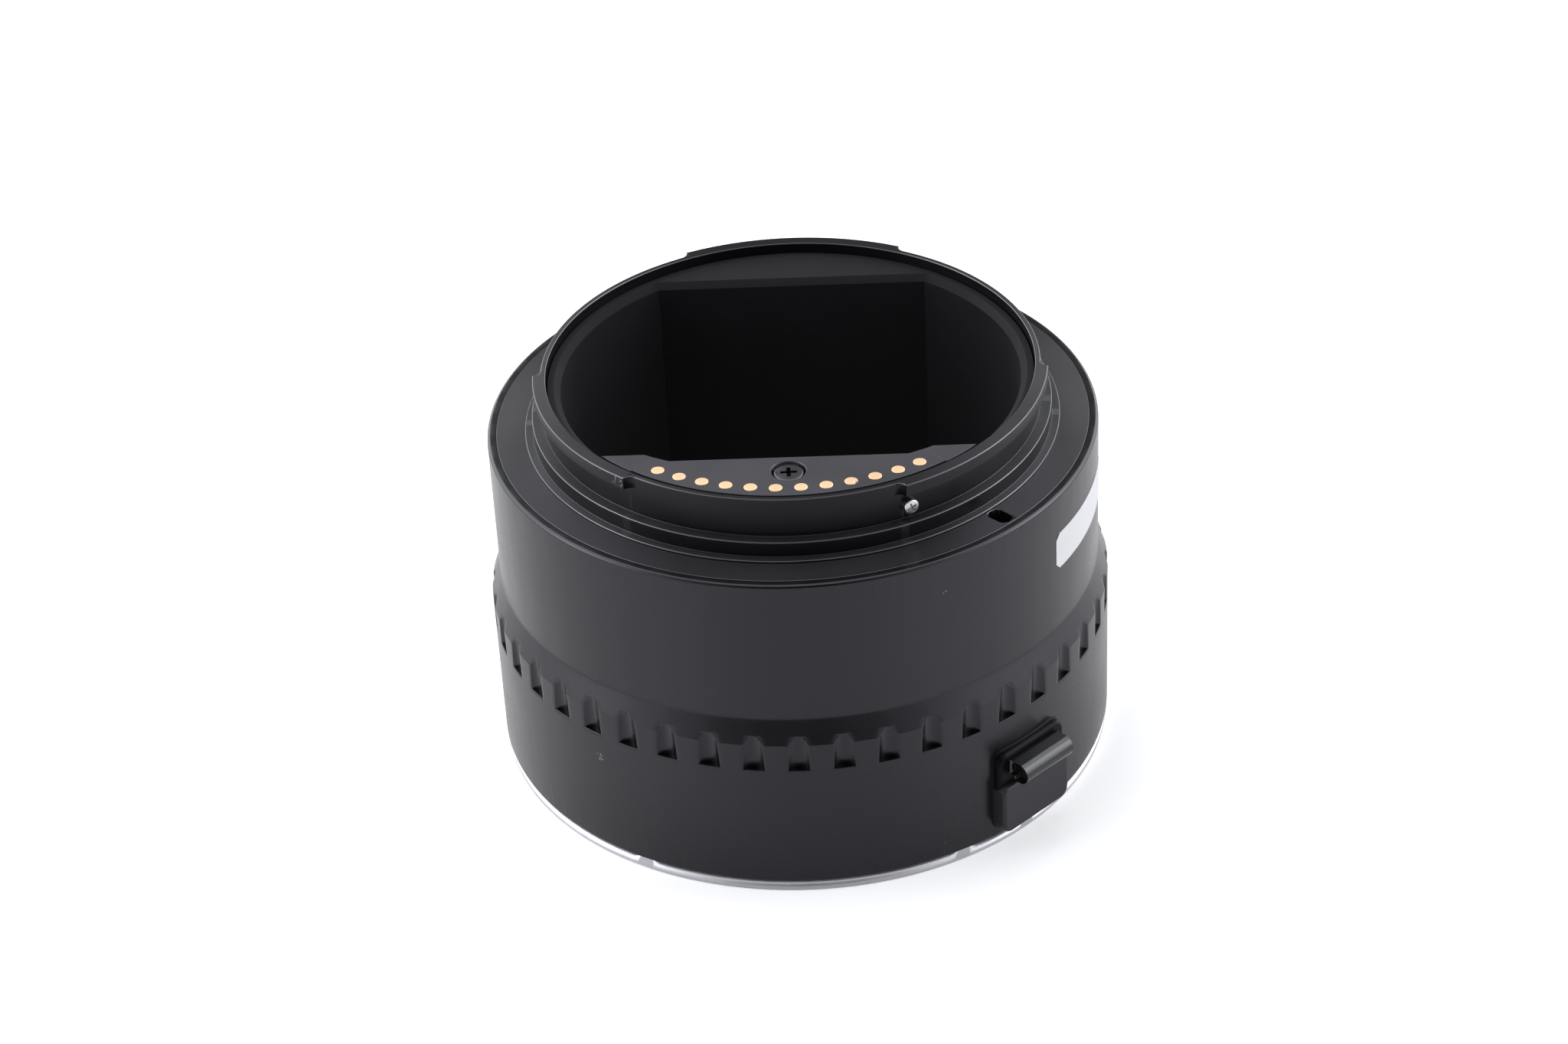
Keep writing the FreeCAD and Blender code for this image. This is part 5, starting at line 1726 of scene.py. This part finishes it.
@dataclass
class Studio:
    """Plain floor, soft light, a room to reflect and the camera at the photograph's angle.

    The room that the finishes mirror is set by direction: dark behind the camera and straight behind the
    object, bright at both sides and overhead. Its edges are parts of a unit direction.
    """

    camera_azimuth: float = -87.95
    camera_elevation: float = 33.399
    camera_distance: float = 473.18
    camera_roll: float = -2.98
    target: Triple = (-1.738, -0.062, 28.70)
    focal_pixels: float = 4799.3
    image_width: float = 2048.0
    sensor: float = 36.0
    front_light: float = 3.0
    back_edge: Pair = (0.12, 0.36)
    back_shade: float = 0.12
    back_light: float = 3.2
    middle: Pair = (-0.1, 0.1)
    ceiling: Pair = (0.8, 0.95)
    ceiling_light: float = 2.0
    # The floor's painted glow in reflections, and the range on the camera's side over which it fades out as
    # painted shade.
    floor_front: Pair = (0.82, 1.0)
    floor_mirrored: Pair = (0.42, 0.0)
    floor_glow: float = 0.42
    floor_reach: float = 2500.0
    floor_drop: float = 0.02
    nearest: float = 0.001
    soft_light: float = 0.55
    aim: Triple = (0.0, 0.0, 25.0)

    def camera(self) -> bpy.types.Object:
        """Place the camera.

        Returns:
            The camera.
        """
        e, a = math.radians(self.camera_elevation), math.radians(self.camera_azimuth)
        back = Vector((math.cos(e) * math.cos(a), math.cos(e) * math.sin(a), math.sin(e)))
        right = Vector((-math.sin(a), math.cos(a), 0))
        up = back.cross(right)
        roll = math.radians(self.camera_roll)
        across = right * math.cos(roll) + up * math.sin(roll)
        over = up * math.cos(roll) - right * math.sin(roll)
        data = bpy.data.cameras.new("photo_camera")
        data.sensor_width = self.sensor
        data.lens = self.focal_pixels / self.image_width * self.sensor
        data.clip_start, data.clip_end = 10 * MM, 50.0
        camera = bpy.data.objects.new("photo_camera", data)
        place = Vector(self.target) + back * self.camera_distance
        turn = Matrix((across, over, back)).transposed().to_4x4()
        camera.matrix_world = Matrix.Translation(place * MM) @ turn
        bpy.context.scene.collection.objects.link(camera)
        bpy.context.scene.camera = camera
        return camera

    def floor(self) -> bpy.types.Object:
        """A wide white floor that keeps the shadow; it also glows in reflections, a painted glow that fades
        to none on the camera's side as painted shade.

        Returns:
            The floor.
        """
        form = Form()
        ends = (-self.floor_reach, self.floor_reach)
        form.skin([[(x, y, 0.0) for x in ends] for y in ends], around=False)
        floor = form.build("floor")
        floor.location.z = -self.floor_drop * MM
        made = bpy.data.materials.new("white_table")
        made.use_nodes = True
        graph = Graph(made.node_tree)
        shader = next(n for n in made.node_tree.nodes if n.type == "BSDF_PRINCIPLED")
        output = next(n for n in made.node_tree.nodes if n.type == "OUTPUT_MATERIAL")
        shader.inputs["Base Color"].default_value = (0.8, 0.8, 0.81, 1)
        shader.inputs["Roughness"].default_value = 0.9
        shader.inputs["Specular IOR Level"].default_value = 0.1
        path = graph.node("LightPath")
        towards = self.towards(graph, graph.node("TexCoord").outputs["Object"])
        # Painted reflection: the floor glows for glossy rays, fading to none on the camera's side as painted
        # shade.
        glossy = graph.maths("MULTIPLY", path.outputs["Is Glossy Ray"],
                             graph.ramp(towards, *self.floor_front, *self.floor_mirrored))
        seen = graph.maths("MAXIMUM", self.seen(graph), glossy)
        strength = graph.maths("MULTIPLY", seen, self.floor_glow)
        glow = graph.node("Emission", Color=(1, 1, 1, 1), Strength=strength)
        both = graph.node("AddShader", i0=shader.outputs[0], i1=glow.outputs[0])
        graph.put(output.inputs["Surface"], both.outputs[0])
        floor.data.materials.append(made)
        return floor

    def towards(self, graph: Graph, vector: bpy.types.NodeSocket) -> bpy.types.NodeSocket:
        """How far a place lies on the camera's side of the object, from -1 to 1.

        Args:
            graph: the material's tree.
            vector: the place.

        Returns:
            The number's socket.
        """
        x, y, _ = graph.node("SeparateXYZ", Vector=vector).outputs
        flat = graph.maths("MAXIMUM", graph.length(x, y), self.nearest)
        return graph.maths("DIVIDE", graph.maths("MULTIPLY", y, -1.0), flat)

    def between(self, graph: Graph, share: bpy.types.NodeSocket, first: object, second: object) \
            -> bpy.types.NodeSocket:
        """A number that goes from the first value to the second as the share goes from 0 to 1.

        Args:
            graph: the tree.
            share: the share of the second value.
            first: a number or a socket.
            second: a number or a socket.

        Returns:
            The number's socket.
        """
        parts = (graph.maths("SUBTRACT", 1.0, share), first), (share, second)
        return graph.maths("ADD", *(graph.maths("MULTIPLY", *part) for part in parts))

    def seen(self, graph: Graph) -> bpy.types.NodeSocket:
        """One where the camera looks straight, or through something clear."""
        path = graph.node("LightPath")
        return graph.maths("MAXIMUM", path.outputs["Is Camera Ray"], path.outputs["Is Transmission Ray"])

    def world(self) -> None:
        """White behind the object, a shaded room in its reflections, and soft light for the rest."""
        world = bpy.data.worlds.new("studio")
        bpy.context.scene.world = world
        world.use_nodes = True
        graph = Graph(world.node_tree)
        for node in list(world.node_tree.nodes):
            world.node_tree.nodes.remove(node)
        path = graph.node("LightPath")
        x, y, z = graph.node("SeparateXYZ", Vector=graph.node("TexCoord").outputs["Generated"]).outputs
        across = graph.maths("ABSOLUTE", x)
        front = graph.maths("MULTIPLY", graph.maths("POWER", across, 3.0), self.front_light)
        back = graph.ramp(across, *self.back_edge, self.back_shade, self.back_light)
        behind, high = graph.ramp(y, *self.middle), graph.ramp(z, *self.ceiling)
        level = self.between(graph, behind, front, back)
        room = self.between(graph, high, level, self.ceiling_light)
        white = graph.node("Background", Color=(1, 1, 1, 1), Strength=1.0)
        mirrored = graph.node("Background", Color=(0.97, 0.98, 1.0, 1), Strength=room)
        soft = graph.node("Background", Color=(0.93, 0.95, 1.0, 1), Strength=self.soft_light)
        glossy = path.outputs["Is Glossy Ray"]
        first = graph.node("MixShader", i0=glossy, i1=soft.outputs[0], i2=mirrored.outputs[0])
        both = graph.node("MixShader", i0=self.seen(graph), i1=first.outputs[0], i2=white.outputs[0])
        output = graph.node("OutputWorld")
        graph.put(output.inputs["Surface"], both.outputs[0])

    def lamp(self, name: str, place: Triple, size: Pair, power: float, colour: Colour) -> bpy.types.Object:
        """A soft box that looks at the object.

        Args:
            name: its name.
            place: where it stands, in millimetres.
            size: how wide and how high it is.
            power: its power in watts.
            colour: its colour.

        Returns:
            The lamp.
        """
        data = bpy.data.lights.new(name, "AREA")
        data.shape = "RECTANGLE"
        data.size, data.size_y = size[0] * MM, size[1] * MM
        data.energy = power
        data.color = colour
        lamp = bpy.data.objects.new(name, data)
        turn = (Vector(self.aim) - Vector(place)).to_track_quat("-Z", "Y")
        lamp.matrix_world = Matrix.Translation(Vector(place) * MM) @ turn.to_matrix().to_4x4()
        bpy.context.scene.collection.objects.link(lamp)
        return lamp

    def build(self) -> None:
        """Set the studio up."""
        scene = bpy.context.scene
        scene.view_settings.view_transform = "Standard"
        self.camera()
        self.floor()
        self.world()
        top = self.lamp("top_box", (-250, 350, 1100), (900, 900), 9.0, (1.0, 0.99, 0.98))
        # The flats would mirror this lamp as a white sheet. The room's ceiling stands in for it there.
        top.visible_glossy = False
        self.lamp("left_box", (-900, -150, 420), (500, 700), 3.5, (0.97, 0.98, 1.0))
        self.lamp("right_box", (900, 100, 420), (500, 700), 3.5, (0.97, 0.98, 1.0))


def main() -> None:
    """Load the frame, and build and dress every sub-assembly."""
    logging.basicConfig(level=logging.INFO, format="%(name)s %(message)s")
    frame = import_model()
    for part in (Studio, Barrel, Label, ReleaseHousing, ReleaseSlider, CameraRing, StopPin, LightTunnel,
                 ContactRow, LensRing, LensContacts, LockWorks):
        part().build()
    CarriedNodes().dress(frame["nodes"])


if __name__ == "__main__":
    main()
